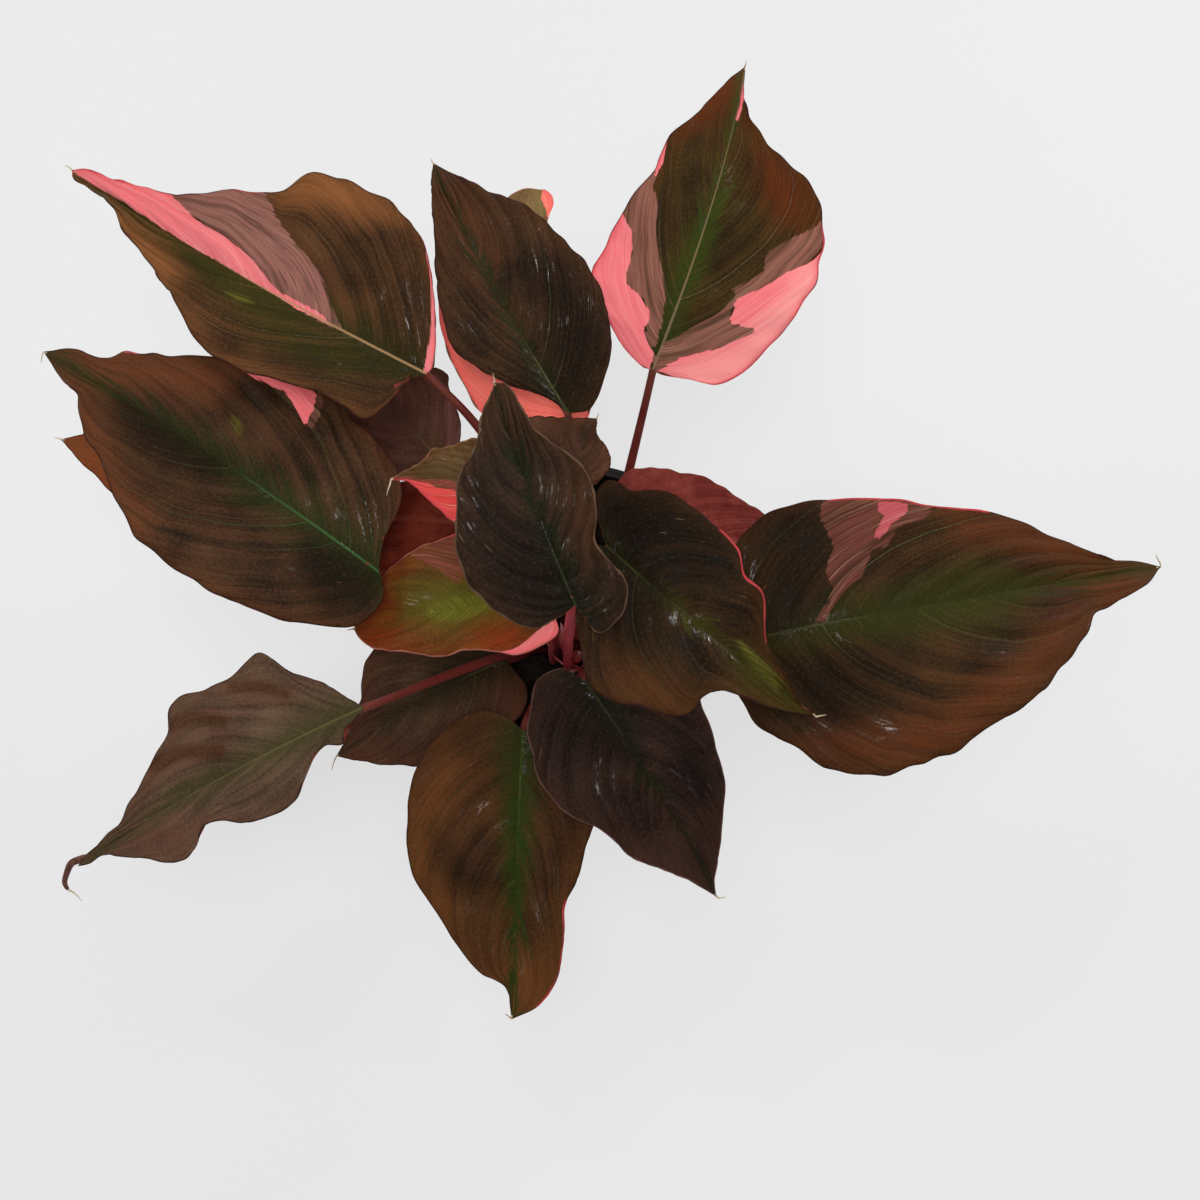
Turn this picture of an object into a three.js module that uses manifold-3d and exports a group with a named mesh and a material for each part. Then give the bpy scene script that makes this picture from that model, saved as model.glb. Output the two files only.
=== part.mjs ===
// A variegated flaming red homalomena in a small round nursery pot.
// Units are millimetres and +Z is up. The origin is the middle of the flat underside of the pot.
import * as THREE from 'three';
import { mergeVertices } from 'three/addons/utils/BufferGeometryUtils.js';
import Module from 'manifold-3d';

const wasm = await Module();
wasm.setup();

// Driving dimensions of the pot and the soil
const POT_HEIGHT = 92;
const POT_MOUTH_RADIUS = 52.5;
const POT_FOOT_RADIUS = 37;
const POT_WALL = 1.5;
const POT_FLOOR = 2;
const POT_SIDES = 40;
const LIP_HEIGHT = 10;
const LIP_STEP = 2;
const EDGE = 0.8;
const DRAIN_HOLES = 6;
const DRAIN_RADIUS = 3.5;
const DRAIN_RING = 25;
const DRAIN_SIDES = 12;
const SOIL_TOP = 78;
const SOIL_RINGS = 5;
const SOIL_MOUND = 2;
const SOIL_BUMP = 1;
const BUMP_SPACING = 19;
const CLEARANCE = 0.35;
const HOLE_ROOM = 0.45;
const HOLE_SIDES = 10;

// Driving dimensions that all leaves and stalks share
const BLADE = 0.8;
const BLADE_ROWS = 15;
const BLADE_COLUMNS = 3;
const NOTCH = 1.8;
const VEIN_SWEEP = 1.6;
const SIDE_SHIFT = 0.37;
const STALK_RADIUS = 1.6;
const STALK_SIDES = 7;
const STALK_STEPS = 12;
const STALK_ROOM = 0.4;
const ROOTED = 14;
const COLLAR = 4;

// The crown: a short stem with two rolled new shoots on it, with their feet and tips measured from
// its middle
const CROWN = [-2, -15];
const CROWN_RADIUS = 4.5;
const CROWN_HEIGHT = 12;
const CROWN_SIDES = 14;
const SHOOT_SIDES = 9;
const SHOOTS = [
  { foot: [-1, 1], tip: [-3, 4], radius: 2.6, height: 32 },
  { foot: [1, -1], tip: [3, -4], radius: 2.3, height: 24 },
];

// One entry for each leaf. base and tip are the ends of its midrib. left and right are its margins
// seen from above, from the notch to the tip: each point has the distance along the leaf from its
// base and the distance out from the midrib. arch lifts the middle of the leaf and bow pushes it
// sideways. fold is how steeply each half rises from the midrib, and wave has the height, count and
// phase of the margin's waves. The stalk stands in the soil at foot, climbs by rise, and comes to
// its leaf from reach behind and drop below. It ends seat past the base of the midrib.
const LEAVES = {
  upper_left: {
    base: [-47, 59, 156], tip: [-178, 149, 128], arch: 12, bow: 4.5, fold: [0.18, 0.22],
    left: [[2, 4], [6, 7], [3, 14], [6, 24], [20, 25], [37, 31], [61, 34], [80, 26], [99, 19],
      [119, 12], [131, 6], [145, 3]],
    right: [[-1, 3], [9, 18], [21, 31], [29, 36], [42, 40], [57, 39], [70, 34], [76, 25], [89, 18],
      [104, 8], [135, 2]],
    wave: [1.2, 4, 0.1], foot: [-8, -4], rise: 60, reach: 40, drop: 12, seat: 1,
  },
  upper_middle: {
    base: [-2, 48, 150], tip: [-49, 143, 142], arch: 12, bow: 4, fold: [0.15, 0.25],
    left: [[4, 2], [9, 6], [14, 13], [20, 19], [30, 24], [42, 24], [53, 21], [63, 17], [72, 13],
      [88, 8]],
    right: [[-2, 7], [5, 16], [13, 21], [28, 25], [43, 24], [64, 18], [76, 12], [90, 5]],
    wave: [1, 4, 0.3], foot: [0, -1], rise: 30, reach: 10, drop: 22, seat: 1,
  },
  under_upper_middle: {
    base: [-1, 50, 138], tip: [-13, 140, 130], arch: 8, bow: 0, fold: [0.15, 0.1],
    left: [[1, 4], [2, 15], [6, 29], [22, 36], [35, 39], [50, 38], [66, 32], [81, 20], [89, 7]],
    right: [[0, 5], [10, 9], [26, 11], [42, 10], [59, 7], [75, 2]],
    wave: [1, 4, 0], foot: [4, 3], rise: 15, reach: 10, drop: 22, seat: 1,
  },
  upper_right: {
    base: [25, 63, 150], tip: [58, 178, 146], arch: 14, bow: -4, fold: [0.2, 0.2],
    left: [[0, 4], [4, 11], [10, 18], [15, 24], [23, 27], [35, 24], [50, 21], [62, 17], [72, 16],
      [84, 11], [100, 6]],
    right: [[-1, 4], [-1, 13], [-1, 21], [4, 28], [13, 33], [20, 38], [31, 41], [43, 43], [55, 41],
      [64, 37], [76, 25], [85, 14], [97, 5]],
    wave: [1.4, 4, 0.5], foot: [7, -1], rise: 25, reach: 30, drop: 30, seat: 1,
  },
  left_big: {
    base: [-63, 0, 134], tip: [-187, 86, 114], arch: 14, bow: 0, fold: [0.16, 0.2],
    left: [[-5, 4], [-7, 9], [-6, 16], [-4, 20], [3, 25], [16, 32], [35, 36], [53, 37], [67, 36],
      [80, 31], [97, 22], [111, 16], [123, 8], [135, 5]],
    right: [[3, 5], [6, 13], [6, 19], [9, 25], [15, 30], [28, 34], [39, 36], [49, 36], [69, 32],
      [84, 29], [97, 22], [109, 17], [118, 14], [122, 9], [128, 7], [138, 6]],
    wave: [1.3, 4, 0.2], foot: [-14, -8], rise: 6, reach: 0, drop: 26, seat: 5,
  },
  under_left: {
    base: [-80, 27, 104], tip: [-190, 65, 84], arch: 5, bow: 0, fold: [0.12, 0.12],
    left: [[-3, 8], [8, 23], [36, 27], [66, 22], [90, 13], [105, 6]],
    right: [[1, 7], [14, 15], [45, 21], [81, 18], [108, 4]],
    wave: [1.2, 4, 0.6], foot: [-15, -3], rise: 14, reach: 25, drop: 4, seat: 1,
  },
  lower_left: {
    base: [-67, -43, 128], tip: [-171, -89, 78], arch: 16, bow: 1.5, fold: [0.28, 0.3],
    left: [[4, 3], [8, 5], [10, 9], [16, 7], [22, 11], [30, 20], [44, 20], [54, 15], [60, 14],
      [66, 19], [71, 20], [83, 14], [95, 6], [102, 2], [108, 2]],
    right: [[4, 5], [9, 12], [17, 19], [24, 28], [38, 25], [51, 26], [57, 25], [61, 19], [74, 11],
      [89, 4], [98, 2], [104, 1], [110, 1]],
    wave: [1.6, 4, 0.1], foot: [-10, -15], rise: 30, reach: 30, drop: 3, seat: 1,
  },
  under_lower_left: {
    base: [-24, -22, 104], tip: [-83, -52, 84], arch: 8, bow: 0, fold: [0.14, 0.14],
    left: [[-1, 6], [-2, 12], [0, 17], [7, 21], [17, 25], [30, 24], [42, 19], [52, 12], [61, 5]],
    right: [[-1, 7], [6, 15], [18, 21], [31, 24], [39, 23], [46, 17], [50, 11], [59, 4]],
    wave: [1.2, 4, 0.4], foot: [-15, -13], rise: 6, reach: 8, drop: 10, seat: 1,
  },
  bottom: {
    base: [-17, -49, 118], tip: [-21, -139, 84], arch: 12, bow: 0.5, fold: [0.2, 0.2],
    left: [[-2, 4], [1, 12], [11, 20], [22, 24], [32, 23], [43, 21], [55, 16], [63, 16], [72, 16],
      [79, 14], [86, 8]],
    right: [[-4, 5], [-6, 12], [-4, 18], [2, 25], [13, 32], [24, 35], [36, 35], [45, 33], [51, 30],
      [58, 24], [66, 19], [76, 10], [80, 2]],
    wave: [1.3, 4, 0.7], foot: [-8, -26], rise: 12, reach: 12, drop: 14, seat: 1,
  },
  bottom_right: {
    base: [3, -37, 142], tip: [45, -101, 112], arch: 10, bow: 0.5, fold: [0.15, 0.2],
    left: [[-1, 5], [2, 14], [11, 23], [22, 27], [29, 26], [40, 23], [52, 18], [63, 10], [72, 2]],
    right: [[-4, 2], [-7, 4], [-8, 10], [-5, 15], [3, 22], [12, 26], [23, 28], [34, 26], [41, 21],
      [52, 17], [60, 11], [70, 4]],
    wave: [1, 3, 0.2], foot: [3, -24], rise: 30, reach: 6, drop: 22, seat: 1,
  },
  right_big: {
    base: [55, -24, 142], tip: [193, 5, 122], arch: 16, bow: -1, fold: [0.2, 0.16],
    left: [[-2, 6], [-3, 16], [2, 30], [10, 35], [19, 37], [28, 37], [39, 35], [54, 31], [73, 25],
      [87, 20], [100, 13], [118, 4], [133, 2]],
    right: [[-5, 4], [-9, 11], [-7, 19], [-4, 28], [5, 37], [13, 45], [28, 50], [45, 49], [62, 43],
      [74, 39], [88, 31], [101, 22], [107, 15], [132, 6]],
    wave: [1.4, 5, 0], foot: [8, -18], rise: 35, reach: 30, drop: 18, seat: 1,
  },
  centre_right: {
    base: [10, -3, 172], tip: [73, -50, 150], arch: 12, bow: -4, fold: [0.2, 0.25],
    left: [[-4, 3], [-12, 10], [-13, 16], [-8, 18], [-3, 18], [5, 22], [13, 23], [22, 23], [32, 21],
      [38, 16], [46, 14], [55, 5], [64, 2], [72, -1]],
    right: [[-1, 5], [1, 13], [6, 22], [14, 31], [22, 37], [30, 38], [37, 34], [42, 33], [46, 31],
      [49, 26], [49, 20], [53, 14], [59, 12], [69, 7]],
    wave: [1.3, 3, 0.3], foot: [6, -10], rise: 60, reach: 4, drop: 30, seat: 1,
  },
  centre: {
    base: [1, -25, 188], tip: [-22, 38, 196], arch: 6, bow: 1.5, fold: [0.2, 0.2],
    left: [[-2, 5], [-3, 14], [2, 20], [9, 24], [14, 26], [22, 26], [32, 23], [42, 18], [51, 10],
      [58, 7], [63, 3]],
    right: [[-5, 2], [-9, 4], [-9, 8], [-6, 14], [0, 16], [6, 13], [13, 11], [20, 14], [27, 15],
      [36, 13], [47, 6], [55, 5], [65, 3]],
    wave: [1, 3, 0], foot: [-3, -23], rise: 60, reach: 0, drop: 30, seat: 3,
  },
  centre_left: {
    base: [-9, 19, 158], tip: [-56, 22, 160], arch: 4, bow: 0, fold: [0.1, 0.3],
    left: [[-3, 6], [0, 15], [9, 19], [18, 18], [26, 14], [32, 9], [38, 4], [42, 1]],
    right: [[2, 3], [9, 8], [15, 12], [21, 13], [28, 10], [35, 8], [37, 5], [44, 2]],
    wave: [0.8, 3, 0.5], foot: [-4, -7], rise: 40, reach: 4, drop: 30, seat: 1,
  },
  red_underside: {
    base: [-26, 20, 116], tip: [-71, 27, 106], arch: 5, bow: 0, fold: [0.1, 0.1],
    left: [[-2, 7], [3, 17], [16, 21], [32, 20], [37, 15], [42, 8]],
    right: [[1, 5], [9, 9], [22, 12], [36, 13], [44, 8]],
    wave: [0.8, 3, 0.1], foot: [-12, 1], rise: 12, reach: 8, drop: 12, seat: 1,
  },
  amber: {
    base: [-12, -11, 140], tip: [-73, -15, 118], arch: 5, bow: 0, fold: [0.18, 0.1],
    left: [[-4, 2], [-6, 8], [-6, 12], [-1, 16], [8, 17], [17, 15], [34, 15], [45, 12], [54, 9],
      [59, 4]],
    right: [[-3, 5], [0, 13], [11, 21], [24, 25], [30, 24], [38, 21], [49, 16], [55, 8]],
    wave: [1, 4, 0.3], foot: [-9, -9], rise: 30, reach: 3, drop: 25, seat: 1,
  },
  behind_left: {
    base: [-47, 46, 112], tip: [-90, 95, 100], arch: 4, bow: 0, fold: [0.15, 0.12],
    left: [[2, 5], [7, 12], [19, 13], [36, 11], [53, 8]],
    right: [[-2, 5], [0, 9], [12, 17], [19, 19], [23, 22], [31, 19], [47, 13], [61, 7]],
    wave: [1, 3, 0.4], foot: [-8, 4], rise: 12, reach: 15, drop: 8, seat: 1,
  },
  behind_top: {
    base: [-4, 16, 158], tip: [7, 46, 150], arch: 3, bow: 0, fold: [0.12, 0.12],
    left: [[1, 3], [8, 11], [15, 17], [21, 20], [25, 15], [29, 6]],
    right: [[1, 4], [7, 8], [12, 10], [17, 10], [22, 7], [25, 3]],
    wave: [0.8, 2, 0.2], foot: [1, -6], rise: 40, reach: 4, drop: 30, seat: 1,
  },
  behind_right: {
    base: [16, 17, 136], tip: [76, 10, 112], arch: 5, bow: 0, fold: [0.15, 0.15],
    left: [[-3, 4], [-4, 10], [-2, 14], [2, 17], [13, 19], [25, 18], [36, 15], [47, 11], [54, 7]],
    right: [[0, 6], [7, 17], [24, 22], [41, 16], [55, 7]],
    wave: [1, 3, 0.6], foot: [11, -5], rise: 25, reach: 3, drop: 25, seat: 1,
  },
};
// How fast a blade falls again, for each square millimetre out from its midrib
const DROOP = 0.0032;

// Materials
const leafGreen = new THREE.MeshStandardMaterial({ color: 0x3a2c18, roughness: 0.38, metalness: 0 });
const stalkRed = new THREE.MeshStandardMaterial({ color: 0x6b1f22, roughness: 0.45, metalness: 0 });
const shootPink = new THREE.MeshStandardMaterial({ color: 0xb3484c, roughness: 0.5, metalness: 0 });
const soilBlack = new THREE.MeshStandardMaterial({ color: 0x17120e, roughness: 0.95, metalness: 0 });
const potBlack = new THREE.MeshStandardMaterial({ color: 0x121213, roughness: 0.55, metalness: 0 });

// Closed geometry to solid and back. Corners closer than the weld distance are one corner.
const WELD = 1e-4;

function solidOf(geometry) {
  const bare = geometry.clone();
  bare.deleteAttribute('normal');
  bare.deleteAttribute('uv');
  const merged = mergeVertices(bare, WELD);
  return new wasm.Manifold(new wasm.Mesh({
    numProp: 3,
    vertProperties: new Float32Array(merged.attributes.position.array),
    triVerts: new Uint32Array(merged.index.array),
  }));
}

function geometryOf(solid) {
  const mesh = solid.getMesh();
  const geometry = new THREE.BufferGeometry();
  geometry.setAttribute('position', new THREE.BufferAttribute(mesh.vertProperties, 3));
  geometry.setIndex(new THREE.BufferAttribute(mesh.triVerts, 1));
  geometry.computeVertexNormals();
  return geometry;
}

function namedMesh(name, geometry, material) {
  const mesh = new THREE.Mesh(geometry, material);
  mesh.name = name;
  return mesh;
}

// A point on the smooth line through the given points, at the share t of its length
function splinePoint(points, t) {
  const knots = [0];
  for (let i = 1; i < points.length; i += 1) {
    knots.push(knots[i - 1] + Math.hypot(points[i][0] - points[i - 1][0], points[i][1] - points[i - 1][1]));
  }
  const length = knots[knots.length - 1];
  const last = points.length - 1;
  const at = t * length;
  let i = 0;
  while (i < last - 1 && at >= knots[i + 1]) i += 1;
  const slope = (k, axis) => {
    const before = Math.max(k - 1, 0);
    const after = Math.min(k + 1, last);
    return (points[after][axis] - points[before][axis]) / (knots[after] - knots[before]);
  };
  const span = knots[i + 1] - knots[i];
  const x = (at - knots[i]) / span;
  return [0, 1].map((axis) => (2 * x ** 3 - 3 * x ** 2 + 1) * points[i][axis]
    + (x ** 3 - 2 * x ** 2 + x) * span * slope(i, axis)
    + (3 * x ** 2 - 2 * x ** 3) * points[i + 1][axis]
    + (x ** 3 - x ** 2) * span * slope(i + 1, axis));
}

// The direction and length of a leaf seen from above
function leafAxis(leaf) {
  const along = new THREE.Vector2(leaf.tip[0] - leaf.base[0], leaf.tip[1] - leaf.base[1]);
  const length = along.length();
  return { along: along.divideScalar(length), length };
}

// The height of the midrib at the distance a from its base
function veinHeight(leaf, a) {
  const share = a / leafAxis(leaf).length;
  return leaf.base[2] + (leaf.tip[2] - leaf.base[2]) * share + leaf.arch * 4 * share * (1 - share);
}

// A point on the middle surface of a blade. row runs from the notch to the tip along the margin,
// out from the midrib to the margin, and side is 0 on the left and 1 on the right.
function bladePoint(leaf, side, row, out) {
  const { along, length } = leafAxis(leaf);
  const sign = side === 0 ? 1 : -1;
  const margin = side === 0 ? leaf.left : leaf.right;
  const notch = NOTCH / Math.hypot(...margin[0]);
  const outline = [[margin[0][0] * notch, margin[0][1] * notch], ...margin, [length, 0]];
  const edge = splinePoint(outline, row);
  const vein = row ** VEIN_SWEEP;
  const veinBow = leaf.bow * 4 * vein * (1 - vein);
  const a = length * vein + (edge[0] - length * vein) * out;
  const b = veinBow + (sign * edge[1] - veinBow) * out;
  const share = Math.min(Math.max(a / length, 0), 1);
  const across = Math.abs(b - leaf.bow * 4 * share * (1 - share));
  const [height, count, phase] = leaf.wave;
  const turn = 2 * Math.PI * (count * row + phase + SIDE_SHIFT * side);
  const z = veinHeight(leaf, a) + leaf.fold[side] * across - DROOP * across ** 2
    + height * Math.sin(turn) * out ** 2 * Math.sqrt(Math.sin(Math.PI * row));
  return new THREE.Vector3(
    leaf.base[0] + along.x * a - along.y * b,
    leaf.base[1] + along.y * a + along.x * b,
    z,
  );
}

// A thin closed blade: one waved sheet, the same triangles above and below, and a rim between them
function bladeGeometry(leaf) {
  const points = [];
  const faces = [];
  const rowStart = (i) => i * (2 * BLADE_COLUMNS + 1);
  const tip = rowStart(BLADE_ROWS);
  // columns run from the left margin over the midrib to the right margin
  const id = (i, column) => (i === BLADE_ROWS ? tip : rowStart(i) + column + BLADE_COLUMNS);
  for (let i = 0; i < BLADE_ROWS; i += 1) {
    for (let column = -BLADE_COLUMNS; column <= BLADE_COLUMNS; column += 1) {
      const side = column < 0 ? 0 : 1;
      points.push(bladePoint(leaf, side, i / BLADE_ROWS, Math.abs(column) / BLADE_COLUMNS));
    }
  }
  points.push(new THREE.Vector3(...leaf.tip));
  for (let i = 0; i < BLADE_ROWS; i += 1) {
    for (let column = -BLADE_COLUMNS; column < BLADE_COLUMNS; column += 1) {
      const [p, q] = [id(i, column), id(i, column + 1)];
      const [r, s] = [id(i + 1, column + 1), id(i + 1, column)];
      if (i === BLADE_ROWS - 1) faces.push([p, q, tip]);
      else if (column < 0) faces.push([p, q, s], [q, r, s]);
      else faces.push([p, q, r], [p, r, s]);
    }
  }
  const normals = points.map(() => new THREE.Vector3());
  for (const [p, q, r] of faces) {
    const normal = points[q].clone().sub(points[p]).cross(points[r].clone().sub(points[p]));
    [p, q, r].forEach((k) => normals[k].add(normal));
  }
  normals.forEach((normal) => normal.normalize());
  const rim = [];
  for (let column = -BLADE_COLUMNS; column < BLADE_COLUMNS; column += 1) rim.push(id(0, column));
  for (let i = 0; i < BLADE_ROWS; i += 1) rim.push(id(i, BLADE_COLUMNS));
  rim.push(tip);
  for (let i = BLADE_ROWS - 1; i > 0; i -= 1) rim.push(id(i, -BLADE_COLUMNS));

  const count = points.length;
  const position = [];
  for (const way of [1, -1]) {
    points.forEach((point, k) => {
      position.push(...point.clone().addScaledVector(normals[k], way * BLADE / 2).toArray());
    });
  }
  const index = [];
  for (const [p, q, r] of faces) {
    index.push(p, q, r);
    index.push(p + count, r + count, q + count);
  }
  rim.forEach((p, k) => {
    const q = rim[(k + 1) % rim.length];
    index.push(p, p + count, q);
    index.push(q, p + count, q + count);
  });
  const geometry = new THREE.BufferGeometry();
  geometry.setAttribute('position', new THREE.Float32BufferAttribute(position, 3));
  geometry.setIndex(index);
  geometry.computeVertexNormals();
  return geometry;
}

// The line of a stalk: straight up out of the soil, then one curve to the underside of its leaf
function stalkPath(leaf) {
  const { along } = leafAxis(leaf);
  const behind = new THREE.Vector3(along.x, along.y, 0);
  const slant = Math.atan2(leaf.drop, leaf.reach);
  const slope = veinHeight(leaf, leaf.seat + 1) - veinHeight(leaf, leaf.seat);
  const tilt = Math.abs(Math.cos(slant) + slope * Math.sin(slant));
  const below = BLADE / 2 + STALK_ROOM + STALK_RADIUS * tilt;
  const end = new THREE.Vector3(...leaf.base).addScaledVector(behind, leaf.seat);
  end.z = veinHeight(leaf, leaf.seat) - below;
  const root = new THREE.Vector3(...leaf.foot, SOIL_TOP - ROOTED);
  const collar = new THREE.Vector3(...leaf.foot, SOIL_TOP + COLLAR);
  const path = new THREE.CurvePath();
  path.add(new THREE.LineCurve3(root, collar));
  path.add(new THREE.CubicBezierCurve3(
    collar,
    collar.clone().add(new THREE.Vector3(0, 0, leaf.rise)),
    end.clone().addScaledVector(behind, -leaf.reach).add(new THREE.Vector3(0, 0, -leaf.drop)),
    end,
  ));
  return path;
}

function ring(radius, sides) {
  const shape = new THREE.Shape();
  for (let i = 0; i < sides; i += 1) {
    const angle = (2 * Math.PI * i) / sides;
    if (i === 0) shape.moveTo(radius, 0);
    else shape.lineTo(radius * Math.cos(angle), radius * Math.sin(angle));
  }
  shape.closePath();
  return shape;
}

function stalkGeometry(leaf) {
  return new THREE.ExtrudeGeometry(ring(STALK_RADIUS, STALK_SIDES), {
    steps: STALK_STEPS,
    curveSegments: 1,
    extrudePath: stalkPath(leaf),
  });
}

// The outer radius of the pot's tapered wall
function potRadius(z) {
  const mouth = POT_MOUTH_RADIUS - LIP_STEP;
  return POT_FOOT_RADIUS + (mouth - POT_FOOT_RADIUS) * (z / POT_HEIGHT);
}

// Turns a profile of [radius, height] points about the upright axis
function turned(profile, sides) {
  const points = profile.map(([radius, z]) => new THREE.Vector2(radius, z));
  return new THREE.LatheGeometry(points, sides).rotateX(Math.PI / 2);
}

function upright(radius, bottom, top, sides, x, y) {
  return new THREE.CylinderGeometry(radius, radius, top - bottom, sides)
    .rotateX(Math.PI / 2)
    .translate(x, y, (top + bottom) / 2);
}

function potGeometry() {
  const lipFoot = POT_HEIGHT - LIP_HEIGHT;
  const profile = [
    [0, 0],
    [POT_FOOT_RADIUS - EDGE, 0],
    [POT_FOOT_RADIUS, EDGE],
    [potRadius(lipFoot), lipFoot],
    [POT_MOUTH_RADIUS - EDGE, lipFoot],
    [POT_MOUTH_RADIUS, lipFoot + EDGE],
    [POT_MOUTH_RADIUS, POT_HEIGHT - EDGE],
    [POT_MOUTH_RADIUS - EDGE, POT_HEIGHT],
    [potRadius(POT_HEIGHT) - POT_WALL + EDGE, POT_HEIGHT],
    [potRadius(POT_HEIGHT) - POT_WALL, POT_HEIGHT - EDGE],
    [potRadius(POT_FLOOR) - POT_WALL, POT_FLOOR],
    [0, POT_FLOOR],
  ];
  let pot = solidOf(turned(profile, POT_SIDES));
  for (let i = 0; i < DRAIN_HOLES; i += 1) {
    const angle = (2 * Math.PI * i) / DRAIN_HOLES;
    const x = DRAIN_RING * Math.cos(angle);
    const y = DRAIN_RING * Math.sin(angle);
    pot = pot.subtract(solidOf(upright(DRAIN_RADIUS, -EDGE, POT_FLOOR + EDGE, DRAIN_SIDES, x, y)));
  }
  return geometryOf(pot);
}

// The height of the soil's surface: low bumps on a gentle mound
function soilHeight(x, y) {
  const mound = SOIL_MOUND * (1 - (x * x + y * y) / POT_MOUTH_RADIUS ** 2);
  const turn = (2 * Math.PI) / BUMP_SPACING;
  const bump = Math.sin(turn * x + Math.sin(turn * y)) + Math.cos(turn * y - x / BUMP_SPACING);
  return SOIL_TOP - SOIL_BUMP + mound + (SOIL_BUMP / 2) * bump;
}

// The soil fills the pot up to its bumpy surface, and each stalk stands in a hole in it
function soilGeometry() {
  const bottom = POT_FLOOR + CLEARANCE;
  const inner = (z) => potRadius(z) - POT_WALL - CLEARANCE;
  const position = [0, 0, bottom];
  const index = [];
  const at = (ringIndex, i) => 1 + ringIndex * POT_SIDES + (i % POT_SIDES);
  const wall = (radiusAt, heightAt) => {
    for (let i = 0; i < POT_SIDES; i += 1) {
      const angle = (2 * Math.PI * i) / POT_SIDES;
      const x = radiusAt * Math.cos(angle);
      const y = radiusAt * Math.sin(angle);
      position.push(x, y, heightAt(x, y));
    }
  };
  const topRadius = inner(SOIL_TOP - 2 * SOIL_BUMP);
  wall(inner(bottom), () => bottom);
  for (let k = SOIL_RINGS; k > 0; k -= 1) wall((topRadius * k) / SOIL_RINGS, soilHeight);
  const centre = position.length / 3;
  position.push(0, 0, soilHeight(0, 0));
  for (let i = 0; i < POT_SIDES; i += 1) {
    index.push(0, at(0, i + 1), at(0, i));
    for (let k = 0; k < SOIL_RINGS; k += 1) {
      index.push(at(k, i), at(k, i + 1), at(k + 1, i + 1));
      index.push(at(k, i), at(k + 1, i + 1), at(k + 1, i));
    }
    index.push(at(SOIL_RINGS, i), at(SOIL_RINGS, i + 1), centre);
  }
  const geometry = new THREE.BufferGeometry();
  geometry.setAttribute('position', new THREE.Float32BufferAttribute(position, 3));
  geometry.setIndex(index);
  let soil = solidOf(geometry);
  const deep = SOIL_TOP - ROOTED - CLEARANCE;
  const sky = SOIL_TOP + SOIL_MOUND + SOIL_BUMP;
  for (const leaf of Object.values(LEAVES)) {
    const hole = upright(STALK_RADIUS + HOLE_ROOM, deep, sky, HOLE_SIDES, ...leaf.foot);
    soil = soil.subtract(solidOf(hole));
  }
  const crownHole = upright(CROWN_RADIUS + HOLE_ROOM, deep, sky, CROWN_SIDES, ...CROWN);
  return geometryOf(soil.subtract(solidOf(crownHole)));
}

// A rolled shoot: a slim pointed body that leans from its foot to its tip
function shootSolid({ foot, tip, radius, height }) {
  const profile = [[0, 0], [radius, 0], [radius, 0.35], [0.62 * radius, 0.75], [0, 1]];
  const body = turned(profile.map(([r, share]) => [r, share * height]), SHOOT_SIDES);
  const lean = new THREE.Matrix4().set(
    1, 0, (tip[0] - foot[0]) / height, CROWN[0] + foot[0],
    0, 1, (tip[1] - foot[1]) / height, CROWN[1] + foot[1],
    0, 0, 1, SOIL_TOP,
    0, 0, 0, 1,
  );
  return solidOf(body.applyMatrix4(lean));
}

// The short stem that the leaves grow round, with its ringed scars and new shoots
function crownGeometry() {
  const bottom = SOIL_TOP - ROOTED;
  const top = SOIL_TOP + CROWN_HEIGHT;
  const profile = [
    [0, bottom],
    [0.8 * CROWN_RADIUS, bottom],
    [CROWN_RADIUS, bottom + 3],
    [CROWN_RADIUS, SOIL_TOP + 3],
    [0.85 * CROWN_RADIUS, SOIL_TOP + 4],
    [0.9 * CROWN_RADIUS, SOIL_TOP + 7],
    [0.7 * CROWN_RADIUS, SOIL_TOP + 8],
    [0.7 * CROWN_RADIUS, top - 2],
    [0, top],
  ];
  let crown = solidOf(turned(profile, CROWN_SIDES).translate(...CROWN, 0));
  for (const shoot of SHOOTS) crown = crown.add(shootSolid(shoot));
  return geometryOf(crown);
}

const plant = new THREE.Group();
plant.add(namedMesh('pot', potGeometry(), potBlack));
plant.add(namedMesh('soil', soilGeometry(), soilBlack));
plant.add(namedMesh('crown', crownGeometry(), shootPink));
for (const [name, leaf] of Object.entries(LEAVES)) {
  plant.add(namedMesh(`leaf_${name}`, bladeGeometry(leaf), leafGreen));
  plant.add(namedMesh(`stalk_${name}`, stalkGeometry(leaf), stalkRed));
}

export default plant;
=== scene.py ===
"""A variegated flaming red homalomena in a small round nursery pot.

The tables and dimensions here are millimetres, in the frame of the part, and MM turns them into
Blender's metres where a point or a radius goes into a mesh.
"""
import bmesh
import bpy
import math
import random
from mathutils import Matrix, Vector, noise
import numpy as np


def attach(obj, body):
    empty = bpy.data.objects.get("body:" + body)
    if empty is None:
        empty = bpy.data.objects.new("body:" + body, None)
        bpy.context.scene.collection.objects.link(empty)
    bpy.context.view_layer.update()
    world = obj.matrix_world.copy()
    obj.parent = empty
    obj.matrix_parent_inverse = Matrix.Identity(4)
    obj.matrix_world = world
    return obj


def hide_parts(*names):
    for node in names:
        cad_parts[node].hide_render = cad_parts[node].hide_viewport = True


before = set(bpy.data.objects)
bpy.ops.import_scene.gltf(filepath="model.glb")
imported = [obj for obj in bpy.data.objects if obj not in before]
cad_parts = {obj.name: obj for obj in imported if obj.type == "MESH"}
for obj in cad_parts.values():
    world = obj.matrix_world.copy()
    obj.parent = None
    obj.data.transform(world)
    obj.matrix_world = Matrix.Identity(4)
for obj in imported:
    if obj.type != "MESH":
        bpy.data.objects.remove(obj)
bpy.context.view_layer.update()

MM = 0.001

# Corners nearer than this, in metres, are one corner
SAME_CORNER = 1e-5

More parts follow.
